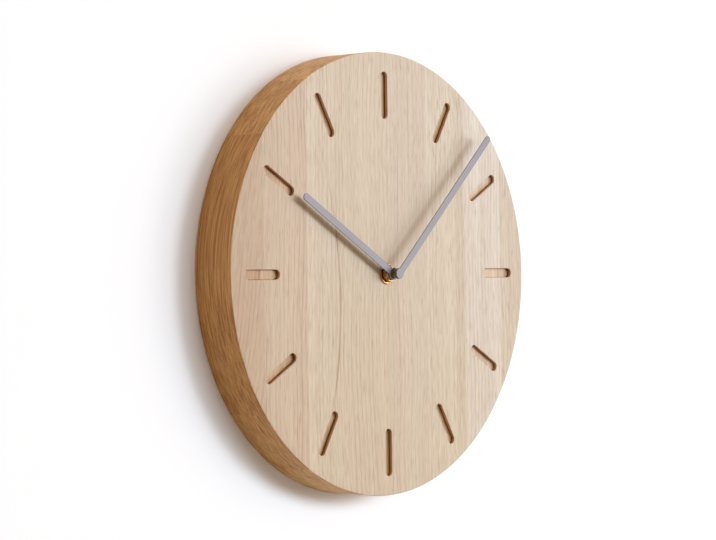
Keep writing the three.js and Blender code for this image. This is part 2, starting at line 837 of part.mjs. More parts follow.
// A plate on the bay's right wall, with a raised button for the nub.
function positiveContact() {
  const wallSide = insideHalfWidth - seat;
  const nubSide = cellHalf + seat;
  const blade = new THREE.BoxGeometry(contactThickness, contactWidth, contactWidth);
  blade.translate(wallSide - contactThickness / 2, cellY, cellZ);
  const button = alongX(rod(cellNubRadius, 0, wallSide - nubSide), nubSide, cellY, cellZ);
  return join(blade, button);
}

// A bowed leaf on the bay's left wall, that presses the cell's flat end.
function negativeContact() {
  const half = contactWidth / 2;
  const bend = (half * half + contactBow * contactBow) / (2 * contactBow);
  const spread = Math.asin(half / bend);
  const bendX = -cellHalf - seat - bend;
  const outline = new THREE.Shape();
  outline.absarc(bendX, cellY, bend, -spread, spread);
  outline.absarc(bendX, cellY, bend - contactThickness, spread, -spread, true);
  outline.closePath();
  return plate(outline, cellZ - half, cellZ + half);
}

// The circuit is held behind the middle plate, to the right of the third wheel.
function circuitBoard() {
  const outline = roundedRectangle(boardLeft, boardFoot, boardRight, boardTop, boardCorner);
  return plate(outline, boardBack, boardFront);
}

// A drop of resin over the chip.
function chip() {
  const foot = boardBack - seat;
  const crown = foot - chipHeight;
  const drop = turned([[0, crown], [chipCrownRadius, crown + chipCrownDrop], [chipRadius, foot], [0, foot]]);
  return drop.translate(boardMiddle, boardTop - chipFromTop, 0);
}

// The crystal's can lies upright at the foot of the board.
function quartzCrystal() {
  const can = new THREE.CylinderGeometry(crystalRadius, crystalRadius, crystalLength, pinFacets);
  const y = boardFoot + wheelPlay + crystalLength / 2;
  return can.translate(boardMiddle, y, boardBack - seat - crystalRadius);
}

// The wheel of the motion work turns on the base's stud, and its pinion drives the hour wheel.
function minuteWheel() {
  const bore = drill(arborRadius + running, minuteWheelBack, bushBack);
  const disc = wheel(motionModule, minuteWheelTeeth, minuteWheelBack);
  const hub = rod(arborRadius + 2 * running, minuteWheelBack, hourBack + wheelThickness);
  return cut(join(disc, pinion(hourModule, minutePinionTeeth, hourBack), hub), bore);
}

function hourWheel() {
  const tube = rod(hourTubeRadius, hourBack, hourTubeFront, centreAxis, turnedFacets);
  const bore = drill(hourTubeBore, hourBack, hourTubeFront, centreAxis, turnedFacets);
  return cut(join(wheel(hourModule, hourTeeth, hourBack), tube), bore);
}

// The knob behind the cover, with the shaft and the pinion that turn the minute wheel.
function settingKnob() {
  const pairs = [];
  for (let i = 0; i < 2 * knobGrips; i += 1) {
    const radius = i % 2 ? knobRadius : knobRadius - knobGrip;
    pairs.push([radius, (Math.PI * i) / knobGrips]);
  }
  const front = coverBack - seat;
  const back = front - knobThickness;
  return join(
    plate(new THREE.Shape(polarPoints(pairs)), back, front),
    rod(settingShaftRadius, front - joinDepth, minuteWheelBack),
    pinion(motionModule, settingTeeth, minuteWheelBack),
    rod(settingPivotRadius, minuteWheelBack, caseFront - running),
  );
}

// How far each wheel is turned so that every pair meshes, from the minute arbor outwards.
const arborTurn = 0;
const thirdTurn = meshTurn(arborTurn, centreTeeth, centreAxis, pinionTeeth, thirdAxis);
const secondsTurn = meshTurn(thirdTurn, thirdTeeth, thirdAxis, pinionTeeth, centreAxis);
const intermediateTurn = meshTurn(secondsTurn, secondsTeeth, centreAxis, pinionTeeth, intermediateAxis);
const rotorTurn = meshTurn(intermediateTurn, intermediateTeeth, intermediateAxis, pinionTeeth, rotorAxis);
const minuteWheelTurn = meshTurn(arborTurn, cannonTeeth, centreAxis, minuteWheelTeeth, minuteWheelAxis);
const hourTurn = meshTurn(minuteWheelTurn, minutePinionTeeth, minuteWheelAxis, hourTeeth, centreAxis);
const settingTurn = meshTurn(minuteWheelTurn, minuteWheelTeeth, minuteWheelAxis, settingTeeth, settingAxis);
const hourHandTurn = -THREE.MathUtils.degToRad(hourHandAngle);
const minuteHandTurn = -THREE.MathUtils.degToRad(minuteHandAngle);

const clock = new THREE.Group();

// A named piece, at its axis and turned about it.
function add(name, geometry, look, axis = centreAxis, turn = 0) {
  const mesh = new THREE.Mesh(geometry, new THREE.MeshStandardMaterial(look));
  mesh.name = name;
  mesh.position.set(axis.x, axis.y, 0);
  mesh.rotation.z = turn;
  clock.add(mesh);
}

// The case and what it hangs on
add('case_body', caseBody(), oak);
add('keyhole_plate', keyholePlate(), steel);
add('plate_screw_lower', plateScrew(), steel, screwPlaces.lower);
add('plate_screw_upper', plateScrew(), steel, screwPlaces.upper);

// The movement's front half and its fixing
add('gasket', ring(bushHole, gasketRadius, gasketBack, gasketFront), rubber);
add('movement_base', movementBase(), blackPlastic);
add('threaded_bush', threadedBush(), brass);
add('face_washer', ring(bushHole, washerRadius, washerBack, washerFront), brass);
add('fixing_nut', fixingNut(), brass);

// The motion work, between the base and the middle plate
add('hour_wheel', hourWheel(), whitePlastic, centreAxis, hourTurn);
add('minute_wheel', minuteWheel(), whitePlastic, minuteWheelAxis, minuteWheelTurn);
add('setting_knob', settingKnob(), whitePlastic, settingAxis, settingTurn);
add('middle_plate', middlePlate(), whitePlastic);

// The train, from the minute arbor back to the motor
add('minute_arbor', minuteArbor(), brass, centreAxis, arborTurn);
add('centre_wheel', centreWheel(), whitePlastic, centreAxis, arborTurn);
add('clutch_spring', clutchSpring(), steel);
add('third_wheel', thirdWheel(), whitePlastic, thirdAxis, thirdTurn);
add('seconds_wheel', secondsWheel(), whitePlastic, centreAxis, secondsTurn);
add('intermediate_wheel', intermediateWheel(), whitePlastic, intermediateAxis, intermediateTurn);
add('rotor_pinion', rotorPinion(), whitePlastic, rotorAxis, rotorTurn);
add('rotor_magnet', ring(magnetBore, magnetRadius, magnetBack, magnetFront), magnetGrey, rotorAxis);
add('stator', stator(), steel);
add('coil_core', coilCore(), steel);
add('coil_bobbin', coilBobbin(), whitePlastic);
add('coil_winding', coilWinding(), copper);

// The circuit, the cell and the cover
add('circuit_board', circuitBoard(), boardGreen);
add('chip', chip(), resin);
add('quartz_crystal', quartzCrystal(), steel);
add('battery', battery(), cellSleeve);
add('positive_contact', positiveContact(), steel);
add('negative_contact', negativeContact(), steel);
add('back_cover', backCover(), blackPlastic);

// The hands on their collets
add('hour_hand_collet', hourHandCollet(), brass);
add('hour_hand', hourHand(), paintedAluminium, centreAxis, hourHandTurn);
add('minute_hand_collet', minuteHandCollet(), brass);
add('minute_hand', minuteHand(), paintedAluminium, centreAxis, minuteHandTurn);

// Stood up with the face towards -Y, and hung from the origin.
clock.rotation.x = Math.PI / 2;
clock.position.z = -hangY;
const part = new THREE.Group();
part.add(clock);

export default part;
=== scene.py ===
import math

import bmesh
import bpy
import numpy as np
from mathutils import Matrix, Vector


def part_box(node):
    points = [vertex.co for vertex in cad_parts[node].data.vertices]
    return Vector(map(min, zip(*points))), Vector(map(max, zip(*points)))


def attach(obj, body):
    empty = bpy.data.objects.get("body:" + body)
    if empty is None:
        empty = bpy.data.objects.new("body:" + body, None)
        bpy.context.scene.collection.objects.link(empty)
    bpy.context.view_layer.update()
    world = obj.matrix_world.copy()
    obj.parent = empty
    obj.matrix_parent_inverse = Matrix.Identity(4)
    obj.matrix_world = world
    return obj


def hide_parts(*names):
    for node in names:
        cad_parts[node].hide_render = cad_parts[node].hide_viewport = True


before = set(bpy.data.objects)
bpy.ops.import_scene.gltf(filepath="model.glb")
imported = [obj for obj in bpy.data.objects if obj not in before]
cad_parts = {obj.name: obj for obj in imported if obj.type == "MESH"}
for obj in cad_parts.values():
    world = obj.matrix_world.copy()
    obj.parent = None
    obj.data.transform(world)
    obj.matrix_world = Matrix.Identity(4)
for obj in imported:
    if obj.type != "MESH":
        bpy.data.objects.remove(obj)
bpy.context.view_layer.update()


# The case is one thick disc of oak, glued up from upright staves, turned to a crisp edge and oiled.
# Twelve slots are routed in its face, and in its back a pocket for the movement and a seat for the
# keyhole plate. Sizes are in millimetres, as the face is seen: x to the right, y up, z out of the wall.
case_low, case_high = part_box("case_body")
disc_radius = 500 * (case_high.x - case_low.x)
disc_depth = 1000 * (case_high.y - case_low.y)
axis_foot = np.array([(case_low.x + case_high.x) / 2, case_high.y, (case_low.z + case_high.z) / 2])
disc_edge = 0.6
edge_land = 0.15
hours = 12
slot_reach = 137
slot_length = 32
slot_radius = 3.25
slot_depth = 3.2
slot_edge = 0.25
slot_foot = 0.5
slot_field_inner = 92
plate_seat_centre = 102
plate_seat_half = 13.5
plate_seat_radius = 9.8
plate_seat_depth = 2.3
key_pocket_half = 4.5
key_pocket_radius = 7.2
key_pocket_depth = 10
back_field_inner = 70
pocket_half_width = 30.65
pocket_half_height = 30.82
pocket_middle = 0.07
pocket_corner = 8
pocket_depth = 22.95
bush_hole = 4.3
end_steps = 20
side_steps = 10
arc_steps = 4
smooth_angle = 38
merge_distance = 2e-6


def place(points):
    """Turns millimetres as the face is seen into metres in the frame: x stays, z runs to -Y and y to +Z."""
    x, y, z = points[..., 0], points[..., 1], points[..., 2]
    return np.stack([x, -z, y], -1) / 1000 + axis_foot


def quarter(start, end):
    """Cosines and sines at even steps between two angles in degrees, both ends included."""
    turn = np.radians(np.linspace(start, end, arc_steps + 1))
    return np.cos(turn), np.sin(turn)


def grid_faces(rows, columns, closed):
    """Quads of a grid numbered row by row; a closed one joins its last column to its first."""
    row = np.arange(rows - 1)[:, None] * columns
    column = np.arange(columns if closed else columns - 1)[None, :]
    onward = (column + 1) % columns
    corners = [row + column, row + onward, row + columns + onward, row + columns + column]
    return np.stack(corners, -1).reshape(-1, 4)


def piece(name, patches, finish, body, nodes, smooth=smooth_angle):
    """Joins patches into one closed mesh and puts it on its body, in the place of its nodes.

    A patch is a grid of points, rows by columns by x, y, z in millimetres, whose columns close into a ring
    unless it is given as (grid, False). A fourth number is kept as the attribute cut_and_shade.
    """
    points, faces, count = [], [], 0
    for patch in patches:
        grid, closed = patch if isinstance(patch, tuple) else (patch, True)
        rows, columns = grid.shape[:2]
        points.append(grid.reshape(-1, grid.shape[-1]))
        faces.append(grid_faces(rows, columns, closed) + count)
        count += rows * columns
    points = np.concatenate(points)
    mesh = bpy.data.meshes.new(name)
    mesh.from_pydata(place(points), [], np.concatenate(faces))
    if points.shape[1] == 4:
        cut_and_shade = mesh.attributes.new("cut_and_shade", "FLOAT", "POINT")
        cut_and_shade.data.foreach_set("value", points[:, 3].astype(np.float32))
    finish_piece(name, mesh, finish, body, nodes, smooth)


def finish_piece(name, mesh, finish, body, nodes, smooth):
    """Merges a mesh's seams and poles, points its faces outwards, and makes its object ride on its body."""
    work = bmesh.new()
    work.from_mesh(mesh)
    bmesh.ops.remove_doubles(work, verts=work.verts, dist=merge_distance)
    bmesh.ops.dissolve_degenerate(work, edges=work.edges, dist=merge_distance)
    bmesh.ops.recalc_face_normals(work, faces=work.faces)
    work.to_mesh(mesh)
    work.free()
    mesh.polygons.foreach_set("use_smooth", np.ones(len(mesh.polygons), bool))
    mesh.set_sharp_from_angle(angle=math.radians(smooth))
    mesh.materials.append(finish)
    made = bpy.data.objects.new(name, mesh)
    bpy.context.scene.collection.objects.link(made)
    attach(made, body)
    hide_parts(*nodes)
    return made


def stadium():
    """A slot's outline as where each point's centre lies along the slot, from 1 to -1 and back, and its
    outward direction: a round end, the left side, the other end and the right side."""
    arc = np.linspace(0, np.pi, end_steps, endpoint=False)
    down = np.linspace(1, -1, side_steps, endpoint=False)
    side = np.zeros(side_steps)
    along = np.concatenate([np.ones(end_steps), down, -np.ones(end_steps), -down])
    turn = np.concatenate([arc, side + np.pi, arc + np.pi, side])
    return along, np.cos(turn), np.sin(turn)


def on_ring(radius, lean):
    """x and y at a radius and an angle that leans left from twelve o'clock."""
    return np.stack([-radius * np.sin(lean), radius * np.cos(lean)], -1)


def twelfth(inner, outer):
    """The outline of a twelfth of a ring about twelve o'clock, point for point with the stadium."""
    half = np.pi / hours
    lean = np.linspace(-half, half, end_steps, endpoint=False)
    fall = np.linspace(outer, inner, side_steps, endpoint=False)
    rise = np.linspace(inner, outer, side_steps, endpoint=False)
    end, side = np.ones(end_steps), np.ones(side_steps)
    radius = np.concatenate([outer * end, fall, inner * end, rise])
    return on_ring(radius, np.concatenate([lean, half * side, -lean, -half * side]))


def sunk_slot(profile, centre, field, carry=(0.15, 0.4, 0.7, 1)):
    """A slot and the flat field round it: each row of the profile is half length, radius, height and
    cut_and_shade of one stadium, and the last is carried out to the field's outline by straight steps."""
    along, across, up = stadium()
    half, radius, height, cut = np.array(profile, float).T[..., None]
    level = np.ones_like(along)
    x, y = radius * across, centre + half * along + radius * up
    slot = np.stack([x, y, height * level, cut * level], -1)
    edge = np.concatenate([field, slot[-1][:, 2:]], -1)
    share = np.array(carry)[:, None, None]
    return np.concatenate([slot, slot[-1] + share * (edge - slot[-1])])


def turned_about(patch, lean):
    """A patch turned about the hands' axis by an angle that leans left."""
    x, y = patch[..., 0], patch[..., 1]
    turned = [x * np.cos(lean) - y * np.sin(lean), x * np.sin(lean) + y * np.cos(lean)]
    return np.concatenate([np.stack(turned, -1), patch[..., 2:]], -1)


def rings(radii, heights, cuts, lean):
    """Rows of points round the axis, each at its height, with one radius or a radius for each column."""
    rows = np.stack([np.broadcast_to(r, lean.shape) for r in radii])
    xy = on_ring(rows, lean)
    rest = np.array([heights, cuts], float).T[:, None, :] * np.ones((1, lean.size, 1))
    return np.concatenate([xy, rest], -1)


def rounded_square(half_width, half_height, corner, lean):
    """The radius of a rectangle with round corners in each direction, read off its dense outline."""
    corner_step, side_cuts, off_zero = 2.0, 40, 1e-9
    arc = np.radians(np.arange(0, 360, corner_step)) + off_zero
    x = np.sign(np.cos(arc)) * (half_width - corner) + corner * np.cos(arc)
    y = np.sign(np.sin(arc)) * (half_height - corner) + corner * np.sin(arc) + pocket_middle
    # straight sides are chords between corners, so the outline is cut finely before it is read
    fine = np.linspace(0, 1, side_cuts, endpoint=False)[:, None]
    px = (x + fine * (np.roll(x, -1) - x)).T.ravel()
    py = (y + fine * (np.roll(y, -1) - y)).T.ravel()
    found = np.arctan2(-px, py)
    return np.interp(lean, np.sort(found), np.hypot(px, py)[np.argsort(found)], period=2 * np.pi)


face = disc_depth
field_outer = disc_radius - disc_edge - edge_land
whole_lean = -np.pi / hours + np.arange(hours * end_steps) * 2 * np.pi / (hours * end_steps)

slot_half = slot_length / 2 - slot_radius
slot_floor = face - slot_depth
floor_cos, floor_sin = quarter(-90, 0)
edge_cos, edge_sin = quarter(180, 90)
# how far each surface is cut across the fibres, which also carries painted shade: the rim and slot walls are
# painted browner as warm shade, and a slot's foot darkest as shade in its corner; and the share of a slot's
# depth where its wall has a row
floor_cut, rim_cut, lip_cut, wall_cut_and_shade, foot_shade = 0.2, 0.5, 0.1, 0.7, 1.0
wall_row = 0.35
slot_profile = [
    [slot_half, 0, slot_floor, floor_cut],
    [slot_half, slot_radius - slot_foot - edge_land, slot_floor, floor_cut],
]
# the fillet at a slot's foot darkens towards the wall, as painted shade in the corner
slot_profile += [
    [slot_half, slot_radius - slot_foot * (1 - c), slot_floor + slot_foot * (1 + s),
     floor_cut + (foot_shade - floor_cut) * c ** 2]
    for c, s in zip(floor_cos, floor_sin)
]
slot_profile += [[slot_half, slot_radius, slot_floor + wall_row * slot_depth, wall_cut_and_shade]]
slot_profile += [
    [slot_half, slot_radius + slot_edge * (1 + c), face - slot_edge * (1 - s), lip_cut * (1 - s)]
    for c, s in zip(edge_cos, edge_sin)
]
slot_profile += [[slot_half, slot_radius + slot_edge + edge_land, face, 0]]
hour_slot = sunk_slot(
    slot_profile, slot_reach - slot_radius - slot_half, twelfth(slot_field_inner, field_outer)
)
hour_slots = [turned_about(hour_slot, 2 * np.pi * hour / hours) for hour in range(hours)]

rim_cos, rim_sin = quarter(90, 0)
rim_radii = disc_radius - disc_edge * (1 - rim_cos)
rim_drop = disc_edge * (1 - rim_sin)
rim_cuts = rim_cut * (1 - rim_sin ** 4)
rim = rings(
    [field_outer, *rim_radii, *rim_radii[::-1], field_outer],
    [face, *(face - rim_drop), *rim_drop[::-1], 0],
    [0, *rim_cuts, *rim_cuts[::-1], 0],
    whole_lean,
)

seat_profile = [
    [key_pocket_half, 0, key_pocket_depth, rim_cut],
    [key_pocket_half, key_pocket_radius, key_pocket_depth, rim_cut],
    [key_pocket_half, key_pocket_radius, plate_seat_depth, rim_cut],
    [plate_seat_half, plate_seat_radius, plate_seat_depth, rim_cut],
    [plate_seat_half, plate_seat_radius, slot_edge, rim_cut],
    [plate_seat_half, plate_seat_radius + slot_edge, 0, 0],
    [plate_seat_half, plate_seat_radius + slot_edge + edge_land, 0, 0],
]
plate_seat = sunk_slot(seat_profile, plate_seat_centre, twelfth(back_field_inner, field_outer))
plain_lean = np.pi / hours + np.arange((hours - 1) * end_steps + 1) * 2 * np.pi / (hours * end_steps)
plain_radii = np.linspace(field_outer, back_field_inner, side_steps + 1)
plain_back = rings(plain_radii, 0 * plain_radii, 0 * plain_radii, plain_lean)

pocket_wall = rounded_square(pocket_half_width, pocket_half_height, pocket_corner, whole_lean)
pocket = rings(
    [back_field_inner, pocket_wall + 2 * slot_edge, pocket_wall + slot_edge, pocket_wall, pocket_wall]
    + [pocket_wall - slot_foot, bush_hole + 1, bush_hole, bush_hole, bush_hole + slot_edge]
    + [bush_hole + slot_edge + edge_land, slot_field_inner / 2, slot_field_inner],
    [0, 0, 0, slot_edge, pocket_depth - slot_foot]
    + [pocket_depth, pocket_depth, pocket_depth, face - slot_edge, face]
    + [face, face, face],
    [0] * 3 + [rim_cut] * 6 + [0] * 4,
    whole_lean,
)


def linear(code):
    """An sRGB hex colour as linear light: c / 12.92 below 0.04045, else ((c + 0.055) / 1.055) ** 2.4."""
    srgb = np.array([int(code[i:i + 2], 16) for i in (1, 3, 5)]) / 255
    light = np.where(srgb <= 0.04045, srgb / 12.92, ((srgb + 0.055) / 1.055) ** 2.4)
    return (*light.tolist(), 1.0)


def set_inputs(tree, node, inputs):
    """Sets a node's inputs, a list in its own order or a dict by name or number. One that is a socket, or a
    node with an output in use, is linked."""
    for key, value in inputs.items() if isinstance(inputs, dict) else enumerate(inputs):
        if isinstance(value, bpy.types.Node):
            value = next(output for output in value.outputs if output.enabled)
        if isinstance(value, bpy.types.NodeSocket):
            tree.links.new(value, node.inputs[key])
        else:
            node.inputs[key].default_value = value


def add(tree, kind, inputs=(), **settings):
    """Adds one node, its kind given without ShaderNode, with its settings and its inputs set or linked."""
    made = tree.nodes.new("ShaderNode" + kind)
    for key, value in settings.items():
        setattr(made, key, value)
    set_inputs(tree, made, inputs)
    return made


def set_stops(ramp, stops, interpolation="LINEAR"):
    """Gives a colour ramp its stops, each a position and a colour, in rising order."""
    ramp.color_ramp.interpolation = interpolation
    elements = ramp.color_ramp.elements
    for _ in stops[2:]:
        elements.new(1.0)
    for element, (position, code) in zip(elements, stops):
        element.position, element.color = position, linear(code)


def new_finish(name):
    """An empty material with its tree, its Principled shader and its object coordinates in millimetres."""
    finish = bpy.data.materials.new(name)
    finish.use_nodes = True
    tree = finish.node_tree
    tree.nodes.clear()
    shader = add(tree, "BsdfPrincipled")
    add(tree, "OutputMaterial", [shader])
    coords = add(tree, "TexCoord")
    mm = add(tree, "VectorMath", {0: coords.outputs["Object"], 3: 1000}, operation="SCALE")
    return finish, tree, shader, mm


def oiled_oak():
    """Pale oak under oil, planed and sanded to a satin. The grain runs up the staves: soft bands, growth
    lines about 4 mm apart that wander and fade, faint rosy streaks, broken fibres and short dark pores, both
    drawn about twice as wide as real ones so that they show at this size. Each stave has its own tint,
    partly
    its own tone and partly painted light: darker to the left, and lighter with a painted bluish sheen to the
    right. The wood is also painted lighter towards the top, as painted light from above. The first stave
    leans,
    and one has a dark mineral line that fades at its ends. Edges and routed walls are cut across the fibres:
    they show the growth layers, take more oil and are browner, and that brown is also painted warm shade on
    the rim and the slot walls. A slot's foot is painted darkest, as painted shade in its corner."""
    # each stave's tint is partly its own tone and partly painted light: darker to the left, lighter with a
    # painted bluish sheen to the right
    stave_tints_and_painted_light = ("#e2d3c2", "#eae0d2", "#f3efe4", "#f2eee2", "#f1eee5", "#f6f4eb", "#fcffff", "#f2f0e9")
    stave_width, first_stave, stave_count = 40.75, -160.5, len(stave_tints_and_painted_light)
    # each stave reads the noise at its own place, up to this far off, so that no two are alike
    stave_apart, first_lean = 900, -0.19
    sway, sway_length = 3.0, 130.0
    ring_pitch, ring_tilt, ring_half, wander = 4.0, 0.9, 0.2, 1.6
    # the width and the length of each pattern of the grain
    band_size, line_size, fibre_size, pore_size = (14.0, 500.0), (2.4, 80.0), (0.9, 12.0), (0.8, 10.0)
    wander_size, patch_size, rosy_size = (9.0, 300.0), (18.0, 90.0), (13.0, 240.0)
    layer_size, layer_depth = (7.0, 45.0), 1.1
    # the span of a noise that is used, and what it becomes
    sway_noise, rosy_noise = (0.3, 0.7), (0.38, 0.62)
    fade_noise, fade = (0.35, 0.65), (0.3, 1.0)
    patch_noise, patch_gain = (0.35, 0.65), (0.35, 1.25)
    fleck_noise, fleck = (0.38, 0.65), (0.25, 0.9)
    pore_noise, pore_dark = (0.66, 0.76), (0.0, 0.3)
    # the tone of plain wood, and how much each pattern adds to it
    plain_tone, band_share, growth_share, fibre_share, line_share = 0.163, 0.24, -0.17, 0.32, 0.12
    layer_share = 3.0
    top_light_reach = 120.0
    mineral_x, mineral_bow, mineral_y = -46.0, 0.0019, -20.0
    mineral_core, mineral_half, mineral_full, mineral_end, mineral_rest = 0.2, 1.3, 50.0, 80.0, 0.2
    finish, tree, shader, mm = new_finish("oiled_oak")

    split = add(tree, "SeparateXYZ", [mm])
    side = split.outputs[0]
    height = add(tree, "Math", [split.outputs[2], -1000 * axis_foot[2]], operation="ADD")
    share = add(tree, "MapRange", [side, first_stave, first_stave + stave_count * stave_width])
    stave = add(tree, "Math", [share, stave_count], operation="MULTIPLY")
    number = add(tree, "Math", [stave], operation="FLOOR")
    chance = add(tree, "TexWhiteNoise", {"W": number}, noise_dimensions="1D")
    apart = add(tree, "VectorMath", {0: chance.outputs["Color"], 3: stave_apart}, operation="SCALE")
    own = add(tree, "VectorMath", [mm, apart], operation="ADD")
    bend = add(tree, "TexNoise", {"Vector": own, "Scale": 1 / sway_length, "Detail": 1.0})
    shift = add(tree, "MapRange", [bend, *sway_noise, -sway, sway])
    is_first = add(tree, "Math", [number, 0.5], operation="LESS_THAN")
    lean = add(tree, "Math", [is_first, first_lean], operation="MULTIPLY")
    leaning = add(tree, "Math", [height, lean, shift], operation="MULTIPLY_ADD")
    sideways = add(tree, "CombineXYZ", [leaning])
    grain = add(tree, "VectorMath", [own, sideways], operation="ADD")

    def along_grain(width, length, detail, depth=None):
        """Noise drawn out along the fibres, as wide, long and deep as given in millimetres."""
        stretch = (1 / width, 1 / (depth or width), 1 / length)
        scaled = add(tree, "VectorMath", [grain, stretch], operation="MULTIPLY")
        return add(tree, "TexNoise", {"Vector": scaled, "Scale": 1.0, "Detail": detail})

    bands = along_grain(*band_size, 2.0)
    lines = along_grain(*line_size, 1.0)
    fibres = along_grain(*fibre_size, 1.0)
    pores = along_grain(*pore_size, 0.0)
    cut = add(tree, "Attribute", attribute_name="cut_and_shade").outputs["Fac"]

    # a growth line lies where the distance across the rings, in pitches and wandering, is a whole number
    across = (1 / ring_pitch, ring_tilt / ring_pitch, 0)
    pitches = add(tree, "VectorMath", [grain, across], operation="DOT_PRODUCT")
    pitches = add(tree, "Math", [along_grain(*wander_size, 1.0), wander, pitches], operation="MULTIPLY_ADD")
    off_line = add(tree, "Math", [pitches, 0.5], operation="PINGPONG")
    growth = add(tree, "MapRange", [off_line, 0.0, ring_half, 1.0, 0.0])
    faded = add(tree, "MapRange", [lines, *fade_noise, *fade])
    patches = add(tree, "MapRange", [along_grain(*patch_size, 1.0), *patch_noise, *patch_gain])
    for weaker in (faded, patches):
        growth = add(tree, "Math", [growth, weaker], operation="MULTIPLY")
    tone = plain_tone
    for pattern, weight in (
        (bands, band_share), (growth, growth_share), (fibres, fibre_share), (lines, line_share),
    ):
        tone = add(tree, "Math", [pattern, weight, tone], operation="MULTIPLY_ADD")
    layers = add(tree, "Math", [along_grain(*layer_size, 2.0, layer_depth), 0.5], operation="SUBTRACT")
    bolder = add(tree, "Math", [cut, layer_share], operation="MULTIPLY")
    tone = add(tree, "Math", [layers, bolder, tone], operation="MULTIPLY_ADD")
    colour = add(tree, "ValToRGB", [tone])
    set_stops(colour, ((0.2, "#b49b8b"), (0.5, "#d8cabe"), (0.8, "#f1e8e1")))

    tints_and_painted_light = add(tree, "ValToRGB", [share])
    set_stops(tints_and_painted_light, [(i / stave_count, code) for i, code in enumerate(stave_tints_and_painted_light)], "CONSTANT")
    rosy = add(tree, "MapRange", [along_grain(*rosy_size, 1.0), *rosy_noise])
    blush = add(tree, "Mix", {0: rosy, 6: linear("#fdfffd"), 7: linear("#fffefe")}, data_type="RGBA")
    # painted light from above: the wood is painted lighter towards the top
    upward = add(tree, "MapRange", [height, -top_light_reach, top_light_reach])
    paler = add(tree, "Mix", {0: upward, 6: linear("#f9f5ee"), 7: linear("#ffffff")}, data_type="RGBA")
    for tint in (tints_and_painted_light, blush, paler):
        colour = add(tree, "Mix", {0: 1.0, 6: colour, 7: tint}, data_type="RGBA", blend_type="MULTIPLY")

    # the mineral line is a parabola whose ends bow to the left, and it sways with the grain
    from_bow = add(tree, "Math", [height, mineral_y], operation="SUBTRACT")
    bowed = add(tree, "Math", [from_bow, 2.0], operation="POWER")
    off = add(tree, "Math", [bowed, mineral_bow, side], operation="MULTIPLY_ADD")
    off = add(tree, "Math", [off, shift], operation="ADD")
    off = add(tree, "Math", [off, mineral_x], operation="SUBTRACT")
    off = add(tree, "Math", [off], operation="ABSOLUTE")
    mineral = add(tree, "MapRange", [off, mineral_core, mineral_half, 1.0, 0.0])
    flecks = add(tree, "MapRange", [lines, *fleck_noise, *fleck])
    ends = add(tree, "MapRange", [bowed, mineral_full ** 2, mineral_end ** 2, 1.0, mineral_rest])
    for weaker in (flecks, ends):
        mineral = add(tree, "Math", [mineral, weaker], operation="MULTIPLY")
    pore_mark = add(tree, "MapRange", [pores, *pore_noise, *pore_dark])
    marks = add(tree, "Math", [mineral, pore_mark], operation="MAXIMUM")
    colour = add(tree, "Mix", {0: marks, 6: colour, 7: linear("#94744f")}, data_type="RGBA")

    # where the wood is cut across the fibres it is browner from oil, and partly painted warm shade on the
    # rim and slot walls; the darkest stop, at a slot's foot, is painted shade
    soaked_and_shaded = add(tree, "ValToRGB", [cut])
    set_stops(soaked_and_shaded, ((0, "#ffffff"), (0.2, "#fff2e2"), (0.5, "#f3ca8b"), (0.7, "#df9d5b"), (1, "#742e06")))
    colour = add(tree, "Mix", {0: 1.0, 6: colour, 7: soaked_and_shaded}, data_type="RGBA", blend_type="MULTIPLY")
    relief = add(tree, "Math", [fibres, pore_mark], operation="SUBTRACT")
    bump = add(tree, "Bump", {"Height": relief, "Strength": 0.25, "Distance": 0.0001})
    set_inputs(tree, shader, {
        "Base Color": colour, "Roughness": 0.5, "Specular IOR Level": 0.2, "Normal": bump,
    })
    return finish


oak_patches = [*hour_slots, rim, plate_seat, (plain_back, False), pocket]
piece("oak_disc", oak_patches, oiled_oak(), "clock_case", ["case_body"])


# The keyhole plate is pressed from steel, zinc plated, and let into the back, where the wall screw's head
# goes in at its round entry. Two countersunk wood screws with cross recesses hold it.
plate_edge = 0.2
screw_columns = 96
screw_head_rings = 30
screw_head_radius = 2.9
screw_head_edge = 0.12
screw_head_band = 0.1
screw_shank_radius = 1.3
screw_core_radius = 0.95
screw_neck = 0.8
screw_pitch = 1.3
screw_thread_length = 8.2
screw_tip = 1.6
thread_steps = 10
recess_arm = 1.55
recess_half_width = 0.42
recess_depth = 0.95


def moulded_copy(name, node, finish, body, edge):
    """A node's own solid, merged, with its flat faces joined and its sharp edges bevelled, in mm."""
    flat_angle = 1
    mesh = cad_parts[node].data.copy()
    mesh.materials.clear()
    work = bmesh.new()
    work.from_mesh(mesh)
    bmesh.ops.remove_doubles(work, verts=work.verts, dist=merge_distance / 2)
    bmesh.ops.dissolve_limit(
        work, angle_limit=math.radians(flat_angle), verts=work.verts, edges=work.edges
    )
    work.to_mesh(mesh)
    work.free()
    made = finish_piece(name, mesh, finish, body, [node], smooth_angle)
    bevel = made.modifiers.new("edges", "BEVEL")
    bevel.width = edge / 1000
    bevel.segments = 2
    bevel.limit_method = "ANGLE"
    bevel.angle_limit = math.radians(smooth_angle)
    bevel.harden_normals = True


def surfaced(tree, shader, tone_by, tones, gloss_by, gloss, metallic=0.0, relief=None):
    """Lets one pattern mix the colour between two tones, and another spread the roughness between two values
    and, where relief gives a strength and a depth in mm, raise the surface."""
    tone = add(tree, "Mix", {0: tone_by, 6: linear(tones[0]), 7: linear(tones[1])}, data_type="RGBA")
    rough = add(tree, "MapRange", [gloss_by, 0.0, 1.0, *gloss])
    set_inputs(tree, shader, {"Base Color": tone, "Roughness": rough, "Metallic": metallic})
    if relief:
        strength, depth = relief
        bump = add(tree, "Bump", {"Height": gloss_by, "Strength": strength, "Distance": depth / 1000})
        set_inputs(tree, shader, {"Normal": bump})


